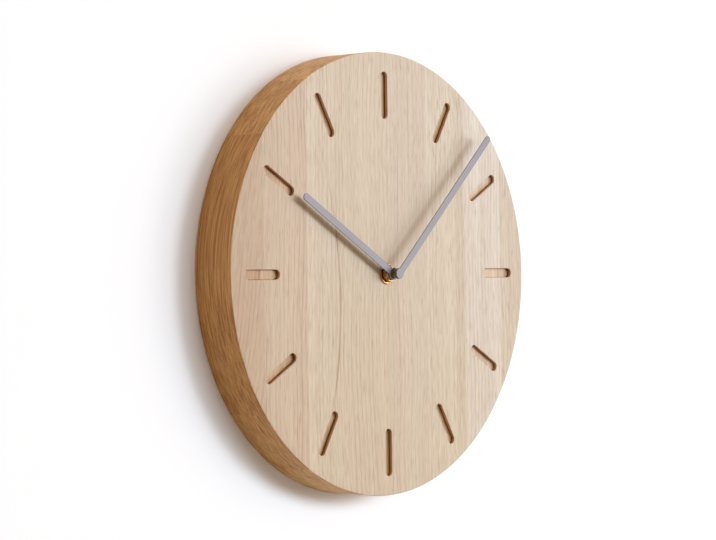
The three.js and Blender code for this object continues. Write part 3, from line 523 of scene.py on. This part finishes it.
def zinc_plate():
    """Bright zinc on pressed steel: grey metal with a faint blue cast, and soft crystals about 2 mm across
    that differ a little in tone and gloss."""
    crystal_size = 2.0
    finish, tree, shader, mm = new_finish("zinc_plated_steel")
    crystals = add(tree, "TexVoronoi", {"Vector": mm, "Scale": 1 / crystal_size}).outputs["Color"]
    surfaced(tree, shader, crystals, ("#a4a6aa", "#b9babd"), crystals, gloss=(0.28, 0.42), metallic=1.0)
    return finish


def full_turn(columns):
    """Angles at even steps all the way round."""
    return np.linspace(0, 2 * np.pi, columns, endpoint=False)


def thread_radius(core, crest, pitch, turn, height):
    """A screw thread: the radius rises and falls between core and crest as a triangle wave of the height in
    pitches less the turn."""
    phase = np.mod(height / pitch - turn / (2 * np.pi), 1)
    return core + (crest - core) * (1 - np.abs(2 * phase - 1))


def plate_screw(centre_y):
    """A wood screw as rings about its axis. The recess is a hollow of the head, deepest at the middle of a
    cross of two arms, and the thread runs out into a point."""
    # a measure of the arms is 1 along the cross's outline, where the hollow is half deep
    recess_rim, recess_slope, recess_rise = 1.25, 0.5, 0.35
    thread_gap, core_tip, crest_tip = 0.1, 0.05, 0.1
    turn = full_turn(screw_columns)
    head_back = 1000 * (axis_foot[1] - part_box("plate_screw_lower")[1].y)
    radii = np.linspace(0, screw_head_radius - screw_head_edge, screw_head_rings)[:, None]
    u, v = np.abs(radii * np.cos(turn)), np.abs(radii * np.sin(turn))
    arms = np.minimum(np.maximum(u / recess_arm, v / recess_half_width),
                      np.maximum(v / recess_arm, u / recess_half_width))
    hollow = recess_depth * np.clip((recess_rim - arms) / recess_slope, 0, 1)
    hollow = np.maximum(hollow * (1 - recess_rise * radii / recess_arm), 0)
    top = np.stack([radii * np.cos(turn), radii * np.sin(turn), head_back + hollow], -1)
    neck_z = head_back + screw_head_radius - screw_shank_radius
    climb = np.arange(0, screw_thread_length, screw_pitch / thread_steps)[:, None]
    thread_z = climb + neck_z + screw_neck + thread_gap
    fade = np.clip(climb / screw_pitch, 0, 1)
    to_tip = (thread_z[-1] - thread_z) / screw_tip
    core = screw_core_radius * np.clip(to_tip + core_tip, 0, 1)
    crest = screw_shank_radius * np.clip(to_tip + crest_tip, 0, 1)
    thread = thread_radius(core, crest, screw_pitch, turn, thread_z)
    thread = screw_shank_radius * (1 - fade) + thread * fade
    plain = np.array([
        [screw_head_radius, head_back + screw_head_edge],
        [screw_head_radius - screw_head_band / 2, head_back + screw_head_edge + screw_head_band],
        [screw_shank_radius, neck_z], [screw_shank_radius, neck_z + screw_neck],
    ])
    radius = np.concatenate([np.repeat(plain[:, :1], screw_columns, 1), thread, 0 * thread[-1:]])
    height = np.concatenate([plain[:, 1:], thread_z, thread_z[-1:]]) + 0 * radius
    shank = np.stack([radius * np.cos(turn), radius * np.sin(turn), height], -1)
    return np.concatenate([top, shank]) + [0, centre_y, 0]


zinc = zinc_plate()
moulded_copy("keyhole_plate_pressing", "keyhole_plate", zinc, "clock_case", plate_edge)
for screw in ("plate_screw_lower", "plate_screw_upper"):
    screw_low, screw_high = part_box(screw)
    screw_y = 1000 * ((screw_low.z + screw_high.z) / 2 - axis_foot[2])
    piece(screw + "_cross_head", [plate_screw(screw_y)], zinc, "clock_case", [screw])


# The movement's case is two mouldings in black ABS, a base and a snap-on cover, with a spark-eroded surface.
# The base comes first and carries the works. Wheels and knob are moulded in pale acetal.
case_edge = 0.35


def black_abs():
    """ABS from a spark-eroded mould: nearly black, with a fine matt grain, drawn at about 0.5 mm, some four
    times as coarse as it is, so that it shows."""
    grain_size = 0.5
    finish, tree, shader, mm = new_finish("moulded_black_abs")
    grain = add(tree, "TexNoise", {"Vector": mm, "Scale": 1 / grain_size, "Detail": 2.0})
    surfaced(tree, shader, grain, ("#19191b", "#29292b"), grain, gloss=(0.42, 0.6), relief=(0.35, 0.06))
    return finish


def pale_acetal():
    """Natural acetal: milky white, smooth from the mould, with a soft gloss and slight flow clouds about
    4 mm across."""
    cloud_size = 4.0
    finish, tree, shader, mm = new_finish("moulded_acetal")
    cloud = add(tree, "TexNoise", {"Vector": mm, "Scale": 1 / cloud_size, "Detail": 2.0})
    surfaced(tree, shader, cloud, ("#dedad0", "#efece4"), cloud, gloss=(0.32, 0.45))
    return finish


abs_black = black_abs()
acetal = pale_acetal()
moulded_copy("movement_base_moulding", "movement_base", abs_black, "clock_case", case_edge)


# The works inside the case stay as the solids are: toothed wheels moulded in acetal on their arbors, a
# middle plate, and a brass minute arbor with its clutch spring.
def dress(finish, *nodes):
    """Gives CAD nodes that stay a finish."""
    for node in nodes:
        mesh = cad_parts[node].data
        mesh.materials.clear()
        mesh.materials.append(finish)


def shade_darkened_brass():
    """Brass from the lathe: yellow metal painted dark brown all over, as painted shade and a painted dark
    reflection, with fine tool rings, drawn about 0.25 mm apart, twice as coarse as they are, that spread the
    shine, and a faint brown tarnish in clouds."""
    ring_pitch, cloud_size = 0.25, 5.0
    finish, tree, shader, mm = new_finish("shade_darkened_brass")
    centred = add(tree, "VectorMath", [mm, (0, 0, 1000 * axis_foot[2])], operation="SUBTRACT")
    flat = add(tree, "VectorMath", [centred, (1, 0, 1)], operation="MULTIPLY")
    radius = add(tree, "VectorMath", [flat], operation="LENGTH")
    rings_cut = {"W": radius, "Scale": 1 / ring_pitch, "Detail": 1.0}
    lines = add(tree, "TexNoise", rings_cut, noise_dimensions="1D")
    cloud = add(tree, "TexNoise", {"Vector": mm, "Scale": 1 / cloud_size, "Detail": 2.0})
    # both tones are painted dark, as painted shade and a painted dark reflection on the nut, washer and bush
    surfaced(
        tree, shader, cloud, ("#8a6039", "#b0865b"), lines,
        gloss=(0.16, 0.34), metallic=1.0, relief=(0.15, 0.03),
    )
    return finish


brass = shade_darkened_brass()
dress(
    acetal, "middle_plate", "hour_wheel", "minute_wheel", "centre_wheel", "third_wheel", "seconds_wheel",
    "intermediate_wheel", "rotor_pinion", "coil_bobbin",
)
dress(brass, "minute_arbor")
dress(zinc, "clutch_spring")


# The stepping motor and its circuit: soft-iron stator and core, a coil of enamelled copper wire, a sintered
# ferrite magnet, and a green board with a drop of resin over its chip and a crystal in a tin can.
def soft_iron():
    """Stamped soft iron: dull grey metal with rolling lines about 0.4 mm apart along x."""
    line_pitch, line_length = 0.4, 50.0
    finish, tree, shader, mm = new_finish("stamped_soft_iron")
    stretch = (1 / line_length, 1 / line_pitch, 1 / line_pitch)
    drawn_out = add(tree, "VectorMath", [mm, stretch], operation="MULTIPLY")
    lines = add(tree, "TexNoise", {"Vector": drawn_out, "Scale": 1.0, "Detail": 2.0})
    surfaced(tree, shader, lines, ("#8f9093", "#a9a9a9"), lines, gloss=(0.3, 0.5), metallic=1.0)
    return finish


def enamelled_wire():
    """Fine copper wire under red-brown enamel, wound side by side: ridges along x, drawn 0.4 mm apart, about
    five times as coarse as the wire, each painted light on its crest and dark in its groove, as a painted
    highlight and painted shade. A wave of scale 1 repeats every 0.314."""
    wire_pitch, wave_length = 0.4, 0.314
    finish, tree, shader, mm = new_finish("enamelled_copper_wire")
    winding = {"Vector": mm, "Scale": wave_length / wire_pitch, "Distortion": 0.3}
    turns = add(tree, "TexWave", winding, bands_direction="X").outputs["Fac"]
    # the tone follows the ridges: a painted highlight on each crest and painted shade between windings
    surfaced(
        tree, shader, turns, ("#5e2a14", "#b8643a"), turns,
        gloss=(0.35, 0.35), metallic=0.8, relief=(0.6, 0.1),
    )
    return finish


def cloudy(name, dark, pale, size, roughness, metallic):
    """A plain surface whose tone drifts between two colours in clouds of a size in mm."""
    finish, tree, shader, mm = new_finish(name)
    cloud = add(tree, "TexNoise", {"Vector": mm, "Scale": 1 / size, "Detail": 3.0})
    surfaced(tree, shader, cloud, (dark, pale), cloud, (roughness, roughness), metallic, (0.1, 0.05))
    return finish


dress(soft_iron(), "stator", "coil_core")
dress(enamelled_wire(), "coil_winding")
# sintered ferrite is grainy and nearly black, solder mask a soft green, resin glossy, and tin pale
ferrite = cloudy("sintered_ferrite", "#38393b", "#4c4d50", size=0.6, roughness=0.55, metallic=0.3)
solder_mask = cloudy("green_solder_mask", "#1f4a2e", "#2f6a41", size=1.5, roughness=0.4, metallic=0.0)
resin = cloudy("glossy_black_resin", "#0f0f10", "#1a1a1b", size=2.0, roughness=0.15, metallic=0.0)
tin = cloudy("bright_tin", "#b4b4b2", "#cfcfcc", size=3.0, roughness=0.28, metallic=1.0)
dress(ferrite, "rotor_magnet")
dress(solder_mask, "circuit_board")
dress(resin, "chip")
dress(tin, "quartz_crystal")


# The cell drops into the open bay below the train. It is a steel can in a printed sleeve, plain slate with a
# copper band at its positive end. Its contacts are tinned spring strip.
cell_columns = 120
cell_low, cell_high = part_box("battery")
cell_radius = 500 * (cell_high.z - cell_low.z)
cell_half = 500 * (cell_high.x - cell_low.x)
cell_y = 1000 * ((cell_low.z + cell_high.z) / 2 - axis_foot[2])
cell_z = 1000 * (axis_foot[1] - (cell_low.y + cell_high.y) / 2)
cell_nub = 1.3
cell_nub_radius = 2.7
sleeve_lip = 0.35
contact_edge = 0.08


def cell_surface():
    """The cell turned about its length: a ringed foot, a straight sleeve that curls over both ends, a
    recessed shoulder and the nub. A row of the profile is a radius, drawn for a usual sleeve and scaled to
    this one, and a place along x."""
    drawn_radius = 7.05
    foot, shoulder = -cell_half, cell_half - cell_nub
    profile = np.array([
        [0, foot + 0.15], [3.6, foot + 0.15], [3.9, foot], [5.2, foot], [5.5, foot + 0.2],
        [6.0, foot + 0.25], [6.2, foot + 0.1], [6.7, foot + 0.1], [6.92, foot + 0.25],
        [drawn_radius, foot + 0.6], [drawn_radius, foot + 1.0], [drawn_radius, 0],
        [drawn_radius, shoulder - 1.0], [drawn_radius, shoulder - 0.6], [6.92, shoulder - 0.2],
        [6.6, shoulder - 0.05], [6.0, shoulder - 0.05], [5.8, shoulder - sleeve_lip],
        [3.2, shoulder - sleeve_lip], [cell_nub_radius + 0.1, shoulder - 0.25], [cell_nub_radius, shoulder],
        [cell_nub_radius, cell_half - 0.35], [cell_nub_radius - 0.1, cell_half - 0.1],
        [cell_nub_radius - 0.35, cell_half], [0, cell_half],
    ])
    turn = full_turn(cell_columns)
    radius = profile[:, :1] * cell_radius / drawn_radius
    x = profile[:, 1:] + 0 * turn
    return np.stack([x, cell_y + radius * np.cos(turn), cell_z + radius * np.sin(turn)], -1)


def printed_sleeve():
    """A shrunk plastic sleeve over a steel can: satin slate, a copper band at the positive end and bare
    steel at both ends, with a faint orange-peel gloss."""
    # where the colours begin, as shares of the cell's length
    slate_from, line_from, copper_from, steel_from = 0.012, 0.66, 0.672, 0.965
    peel_size = 1.25
    finish, tree, shader, mm = new_finish("printed_cell_sleeve")
    split = add(tree, "SeparateXYZ", [mm])
    share = add(tree, "MapRange", [split.outputs[0], -cell_half, cell_half])
    bands = add(tree, "ValToRGB", [share])
    set_stops(bands, (
        (0, "#b9b9b6"), (slate_from, "#2f3b46"), (line_from, "#8f9aa3"), (copper_from, "#9c6236"),
        (steel_from, "#b9b9b6"),
    ), "CONSTANT")
    bare = add(tree, "ValToRGB", [share])
    set_stops(bare, ((0, "#ffffff"), (slate_from, "#000000"), (steel_from, "#ffffff")), "CONSTANT")
    peel = add(tree, "TexNoise", {"Vector": mm, "Scale": 1 / peel_size, "Detail": 2.0})
    gloss = add(tree, "MapRange", [peel, 0.0, 1.0, 0.22, 0.38])
    bump = add(tree, "Bump", {"Height": peel, "Strength": 0.08, "Distance": 0.0001})
    set_inputs(tree, shader, {"Base Color": bands, "Metallic": bare, "Roughness": gloss, "Normal": bump})
    return finish


piece("cell", [cell_surface()], printed_sleeve(), "clock_case", ["battery"])
for contact in ("positive_contact", "negative_contact"):
    moulded_copy(contact + "_strip", contact, tin, "clock_case", contact_edge)


# The cover of black ABS snaps on over the works and leaves the cell's bay open. The knob behind it, moulded
# in pale acetal, sets the hands.
knob_edge = 0.15
moulded_copy("back_cover_moulding", "back_cover", abs_black, "clock_case", case_edge)
moulded_copy("setting_knob_moulding", "setting_knob", acetal, "setter", knob_edge)


# The movement is drawn against the face: a rubber gasket behind, and in front a turned brass washer and a
# hexagon nut on the threaded bush.
fixing_columns = 144
fixing_edge = 0.12
dress(cloudy("black_rubber", "#1f1f1f", "#2b2b2b", size=0.8, roughness=0.85, metallic=0.0), "gasket")


def reach(node):
    """How far a node stands from the wall, back and front, and its greatest radius, in millimetres."""
    low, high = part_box(node)
    return 1000 * (axis_foot[1] - high.y), 1000 * (axis_foot[1] - low.y), 500 * (high.x - low.x)


def revolved(section):
    """A closed section carried round the axis. A row is a radius, or one for each column, and a height."""
    lean = full_turn(fixing_columns)
    radius = np.stack([np.broadcast_to(r, lean.shape) for r, z in section])
    height = np.array([z for r, z in section])[:, None] + 0 * radius
    return np.concatenate([on_ring(radius, lean), height[..., None]], -1)


def turned_bush(bore, steps):
    """A bored piece turned in steps, each a radius and its back and front. Each corner of its section is cut
    back along both its sides by the edge and eased through a middle point, so that it catches the light."""
    eased = 0.3
    back, front = steps[0][1], steps[-1][2]
    outside = [[radius, end] for radius, *ends in steps for end in ends]
    corners = np.array([[bore, back], *outside, [bore, front]])
    before, after = np.roll(corners, 1, 0) - corners, np.roll(corners, -1, 0) - corners
    before *= fixing_edge / np.linalg.norm(before, axis=1, keepdims=True)
    after *= fixing_edge / np.linalg.norm(after, axis=1, keepdims=True)
    section = np.stack([corners + before, corners + eased * (before + after), corners + after], 1)
    section = section.reshape(-1, 2)
    return revolved([*section, section[0]])


washer_back, washer_front, washer_radius = reach("face_washer")
washer = turned_bush(bush_hole, [(washer_radius, washer_back, washer_front)])
piece("face_washer_turned", [washer], brass, "clock_case", ["face_washer"])

nut_back, nut_front, nut_corner = reach("fixing_nut")
nut_flat = nut_corner * math.sqrt(3) / 2
nut_chamfer = 0.42
nut_chamfer_rings = 6
nut_turned_off = 0.1
nut_land = 0.4
nut_bore_edge = 0.3
nut_smooth_angle = 20


def hexagon_nut():
    """Rings round the axis whose radius is the lesser of a hexagon's and of a cone that turns off its
    corners at both faces, and a plain bore."""
    lean = full_turn(fixing_columns)
    around = np.mod(lean, np.pi / 3) - np.pi / 6
    hexagon = nut_flat / np.cos(around)
    drop = np.linspace(0, nut_chamfer, nut_chamfer_rings)
    cone = np.linspace(nut_flat - nut_turned_off, nut_corner, nut_chamfer_rings)
    turned = [(np.minimum(hexagon, r), d) for r, d in zip(cone, drop)]
    rows = [[bush_hole, nut_back], [nut_flat - nut_land, nut_back]]
    rows += [[r, nut_back + d] for r, d in turned]
    rows += [[r, nut_front - d] for r, d in turned[::-1]]
    rows += [[nut_flat - nut_land, nut_front], [bush_hole + nut_bore_edge, nut_front]]
    rows += [[bush_hole, nut_front - nut_bore_edge], rows[0]]
    return revolved(rows)


piece(
    "fixing_nut_hexagon", [hexagon_nut()], brass, "clock_case", ["fixing_nut"],
    smooth=nut_smooth_angle,
)

bush_back, bush_front, bush_flange_radius = reach("threaded_bush")
bush_bore = 2.7
bush_radius = 4.0
bush_flange = 0.8
bush_pitch = 0.75
bush_thread_depth = 0.4
bush_thread_ends = (0.2, 0.35)
bush_bore_edge = 0.2


def bush_surface():
    """Flange and bore are plain rings, and between them a thread runs up the outside to a chamfered end."""
    lean = full_turn(fixing_columns)
    flange_front, core = bush_back + bush_flange, bush_radius - bush_thread_depth
    foot, head = flange_front + bush_thread_ends[0], bush_front - bush_thread_ends[1]
    climb = np.arange(foot, head, bush_pitch / thread_steps)
    rows = [[bush_bore, bush_back], [bush_flange_radius, bush_back]]
    rows += [[bush_flange_radius, flange_front], [core, flange_front]]
    rows += [[thread_radius(core, bush_radius, bush_pitch, lean, z), z] for z in climb]
    rows += [[core, bush_front], [bush_bore + bush_bore_edge, bush_front]]
    rows += [[bush_bore, bush_front - bush_bore_edge], rows[0]]
    return revolved(rows)


piece("threaded_bush_turned", [bush_surface()], brass, "clock_case", ["threaded_bush"])


# The hands are flat bars stamped from thin aluminium, lacquered in a satin lavender grey, each riveted to
# a turned collet, bronzed dark, that presses on its arbor. The hour hand has a hole in its eye, and the
# minute hand covers its own.
hand_width = 5
hand_edge = 0.12
hour_reach, hour_eye, hour_eye_hole, hour_angle = 102, 4.2, 3.45, 300.3
minute_reach, minute_eye, minute_eye_hole, minute_angle = 138, 3.5, 0, 46.0
eye_steps, bar_steps, tip_steps = 72, 40, 24


def satin_lacquer():
    """Lacquer on stamped aluminium: a flat lavender grey with a soft sheen, a very fine speckle, drawn at
    0.6 mm so that it shows, and tone that drifts slowly along the bar."""
    speckle_size, drift_size = 0.6, 30.0
    finish, tree, shader, mm = new_finish("satin_lavender_lacquer")
    speckle = add(tree, "TexNoise", {"Vector": mm, "Scale": 1 / speckle_size, "Detail": 2.0})
    drift = add(tree, "TexNoise", {"Vector": mm, "Scale": 1 / drift_size, "Detail": 1.0})
    surfaced(tree, shader, drift, ("#7d7880", "#868087"), speckle, gloss=(0.38, 0.52), relief=(0.08, 0.04))
    return finish


def hand_patches(hand_reach, eye, hole, angle, back, front):
    """A bar with a round tip and a round eye: the outline runs round the tip, down the left side, round the
    eye and up the right side, and each of its points is drawn in to the middle line, or to the hole in the
    eye. Rows run from there over the front, round the edge and back over the rear."""
    least_hole = 1e-3
    half = hand_width / 2
    tip_y = hand_reach - half
    leave = np.arcsin(half / eye)
    tip = np.linspace(0, np.pi, tip_steps, endpoint=False)
    round_eye = np.linspace(np.pi / 2 + leave, 2.5 * np.pi - leave, eye_steps)
    fall = np.linspace(tip_y, eye * np.cos(leave), bar_steps, endpoint=False)
    side = np.full(bar_steps, half)
    out_x = np.concatenate([half * np.cos(tip), -side, eye * np.cos(round_eye), side])
    out_y = np.concatenate([tip_y + half * np.sin(tip), fall, eye * np.sin(round_eye), fall[::-1]])
    spoke = np.linspace(np.pi / 2, 2.5 * np.pi, eye_steps)
    in_x = np.concatenate([0 * tip, 0 * fall, hole * np.cos(spoke), 0 * fall])
    low_end = max(hole, least_hole)
    bar_fall = low_end + (fall - fall.min()) * (tip_y - low_end) / (tip_y - fall.min())
    in_y = np.concatenate([0 * tip + tip_y, bar_fall, hole * np.sin(spoke), bar_fall[::-1]])
    out, inner = np.stack([out_x, out_y], -1), np.stack([in_x, in_y], -1)
    step = np.roll(out, -1, 0) - np.roll(out, 1, 0)
    outward = np.stack([step[:, 1], -step[:, 0]], -1)
    outward *= hand_edge / np.linalg.norm(outward, axis=1, keepdims=True)
    rounding = [(out - outward * (1 - c), hand_edge * (1 - s)) for c, s in zip(*quarter(90, 0))]
    rows = [(inner, front), (out - 2 * outward, front)]
    rows += [(line, front - drop) for line, drop in rounding]
    rows += [(line, back + drop) for line, drop in rounding[::-1]]
    rows += [(out - 2 * outward, back), (inner, back)]
    grid = np.stack([np.concatenate([xy, np.full((len(xy), 1), z)], -1) for xy, z in rows])
    grid = turned_about(grid, -math.radians(angle))
    if not hole:
        return [grid]
    eye_columns = slice(tip_steps + bar_steps, tip_steps + bar_steps + eye_steps)
    return [grid, (grid[[0, -1], eye_columns], False)]


lacquer = satin_lacquer()
hour_back, hour_front, _ = reach("hour_hand")
hour_hand = hand_patches(hour_reach, hour_eye, hour_eye_hole, hour_angle, hour_back, hour_front)
piece("hour_hand_bar", hour_hand, lacquer, "hour_train", ["hour_hand"])
minute_back, minute_front, _ = reach("minute_hand")
minute_hand = hand_patches(
    minute_reach, minute_eye, minute_eye_hole, minute_angle, minute_back, minute_front
)
piece("minute_hand_bar", minute_hand, lacquer, "minute_train", ["minute_hand"])

# brass turned and bronzed dark, glossy and nearly even
bronzed = cloudy("bronzed_brass", "#6b5a3e", "#8a7450", size=3.0, roughness=0.25, metallic=1.0)
collet_flange = 0.8
hour_collet_bore, hour_collet_radius = 2.7, 3.3
minute_collet_bore, minute_collet_radius = 1.65, 3.4
collet_back, collet_front, flange_radius = reach("hour_hand_collet")
flange_front = collet_back + collet_flange
hour_collet = turned_bush(hour_collet_bore, [
    (flange_radius, collet_back, flange_front), (hour_collet_radius, flange_front, collet_front),
])
piece("hour_hand_collet_turned", [hour_collet], bronzed, "hour_train", ["hour_hand_collet"])
collet_back, collet_front, flange_radius = reach("minute_hand_collet")
flange_back = collet_front - collet_flange
minute_collet = turned_bush(minute_collet_bore, [
    (minute_collet_radius, collet_back, flange_back), (flange_radius, flange_back, collet_front),
])
piece(
    "minute_hand_collet_turned", [minute_collet], bronzed, "minute_train", ["minute_hand_collet"]
)


# The wall is painted plain white and stands just behind the back. It is open behind the disc and seen from
# its front only, so that the back can be looked at. The floor lies well below and only throws light back.
wall_gap = 0.0004
wall_reach = 3.0
wall_hole = 0.149
wall_columns = 96
stipple_size = 2.5
floor_drop = 1.6
floor_reach = 1.6
mottle_size = 50.0


def stage_sheet(name, corners, closed, finish):
    """A flat sheet from rows of points, closed into rings or open, in metres in the frame."""
    mesh = bpy.data.meshes.new(name)
    mesh.from_pydata(corners.reshape(-1, 3), [], grid_faces(*corners.shape[:2], closed))
    mesh.materials.append(finish)
    made = bpy.data.objects.new(name, mesh)
    bpy.context.scene.collection.objects.link(made)
    return made


# emulsion paint, matt, with the faint stipple of a roller
wall_paint, tree, shader, mm = new_finish("white_wall_paint")
roller = add(tree, "TexNoise", {"Vector": mm, "Scale": 1 / stipple_size, "Detail": 2.0})
stipple = add(tree, "Bump", {"Height": roller, "Strength": 0.05, "Distance": 0.0002})
set_inputs(tree, shader, {
    "Base Color": linear("#fafcff"), "Roughness": 0.9, "Specular IOR Level": 0.1, "Normal": stipple,
})
seen_from = add(tree, "NewGeometry")
through = add(tree, "BsdfTransparent")
one_sided = add(tree, "MixShader", [seen_from.outputs["Backfacing"], shader, through])
output = next(node for node in tree.nodes if node.type == "OUTPUT_MATERIAL")
set_inputs(tree, output, [one_sided])

ring_lean = np.linspace(2 * np.pi, 0, wall_columns, endpoint=False)
square = wall_reach / np.maximum(np.abs(np.sin(ring_lean)), np.abs(np.cos(ring_lean)))
wall_xz = on_ring(np.stack([np.full(ring_lean.size, wall_hole), square]), ring_lean)
wall_points = np.insert(wall_xz, 1, wall_gap, axis=-1) + [0, axis_foot[1], axis_foot[2]]
stage_sheet("white_wall", wall_points, True, wall_paint)

# pale grey floor paint, satin, with large faint clouds
floor_paint, tree, shader, mm = new_finish("pale_floor_paint")
mottle = add(tree, "TexNoise", {"Vector": mm, "Scale": 1 / mottle_size, "Detail": 3.0})
surfaced(tree, shader, mottle, ("#c8c8c8", "#d2d2d2"), mottle, gloss=(0.7, 0.7))
floor_points = np.array([[[-1, -1], [1, -1]], [[-1, 1], [1, 1]]]) * floor_reach
floor_points = np.concatenate([floor_points, np.full((2, 2, 1), axis_foot[2] - floor_drop)], -1)
floor = stage_sheet("pale_floor", floor_points, False, floor_paint)
floor.visible_camera = False


# A cool softbox stands in front of the clock, to its right and above, with a long slanted strip across it
# that lies along the hour hand and softens the minute hand's shadow. Small warm lamps light the edges. One
# behind lights the back alone, because the wall stops it. The room is warm.
along_hour_hand, upright, level = (0.96, 0, -0.28), (0, 0, 1), (1, 0, 0)
face_centre = Vector((0, axis_foot[1] - disc_depth / 1000, axis_foot[2]))


def softbox(name, colour, offset, long_side, width, height, power):
    """A rectangular lamp that faces the middle of the clock, its width along the given long side."""
    lamp = bpy.data.lights.new(name, "AREA")
    lamp.shape = "RECTANGLE"
    lamp.size, lamp.size_y, lamp.energy, lamp.color = width, height, power, linear(colour)[:3]
    away = Vector(offset).normalized()
    along = (Vector(long_side) - away * away.dot(Vector(long_side))).normalized()
    made = bpy.data.objects.new(name, lamp)
    turned = Matrix((along, away.cross(along), away)).transposed().to_4x4()
    made.matrix_world = Matrix.Translation(face_centre + Vector(offset)) @ turned
    bpy.context.scene.collection.objects.link(made)


softbox("key_softbox", "#e2f1ff", (2.1, -4.25, 0.77), along_hour_hand, width=1.2, height=1.1, power=66)
softbox("strip_softbox", "#e2f1ff", (1.71, -4.25, 0.61), along_hour_hand, width=6.4, height=1.1, power=145)
softbox("side_softbox", "#fff2e4", (2.0, -1.4, 0.1), upright, width=1.2, height=1.2, power=10)
softbox("rim_softbox", "#fff6ec", (-2.5, -0.4, 0.9), upright, width=1.2, height=1.2, power=13)
softbox("back_softbox", "#ffffff", (0.9, 1.8, 0.7), level, width=1.2, height=1.2, power=30)

# the room is bright towards the window's side and dark away from it, by the cosine of the angle between
window_side = (0.75, -0.25, 0.6)
window_cosines, room_light = (-0.3, 0.9), (0.01, 0.85)
surroundings = bpy.data.worlds.new("warm_pale_room")
surroundings.use_nodes = True
tree = surroundings.node_tree
tree.nodes.clear()
rays = add(tree, "LightPath").outputs
direction = add(tree, "TexCoord").outputs["Generated"]
towards = add(tree, "VectorMath", [direction, window_side], operation="DOT_PRODUCT")
room = add(tree, "MapRange", [towards, *window_cosines, *room_light])
ambient = add(tree, "Background", [linear("#ffdab0"), room])
backdrop = add(tree, "Background", [linear("#fafafa"), 1.0])
seen = add(tree, "Math", [rays["Is Camera Ray"], rays["Is Glossy Ray"]], operation="ADD")
seen = add(tree, "Math", [seen, rays["Is Transmission Ray"]], operation="MAXIMUM")
both = add(tree, "MixShader", [seen, ambient, backdrop])
add(tree, "OutputWorld", [both])
bpy.context.scene.world = surroundings
bpy.context.scene.view_settings.view_transform = "Standard"


# The camera stands to the left of the clock at its height, with a long lens, as the picture was taken.
# Its place is a distance and two angles from the middle of the face, and the lens is in millimetres.
view_azimuth = math.radians(-48.466)
view_elevation = math.radians(-0.373)
view_roll = math.radians(-0.763)
view_distance = 1.56778
view_left, view_up = 0.01933, 0.0028
sensor_width, lens_length, far_end = 36, 116.37, 50
back_to_camera = Vector((
    math.sin(view_azimuth) * math.cos(view_elevation),
    -math.cos(view_azimuth) * math.cos(view_elevation),
    math.sin(view_elevation),
))
level_right = Vector((math.cos(view_azimuth), math.sin(view_azimuth), 0))
level_up = back_to_camera.cross(level_right)
rolled_right = level_right * math.cos(view_roll) + level_up * math.sin(view_roll)
rolled_up = level_up * math.cos(view_roll) - level_right * math.sin(view_roll)
view = bpy.data.cameras.new("camera")
view.sensor_width, view.lens, view.clip_end = sensor_width, lens_length, far_end
camera = bpy.data.objects.new("camera", view)
camera.matrix_world = Matrix.Translation(
    face_centre + back_to_camera * view_distance - level_right * view_left + level_up * view_up
) @ Matrix((rolled_right, rolled_up, back_to_camera)).transposed().to_4x4()
bpy.context.scene.collection.objects.link(camera)
bpy.context.scene.camera = camera
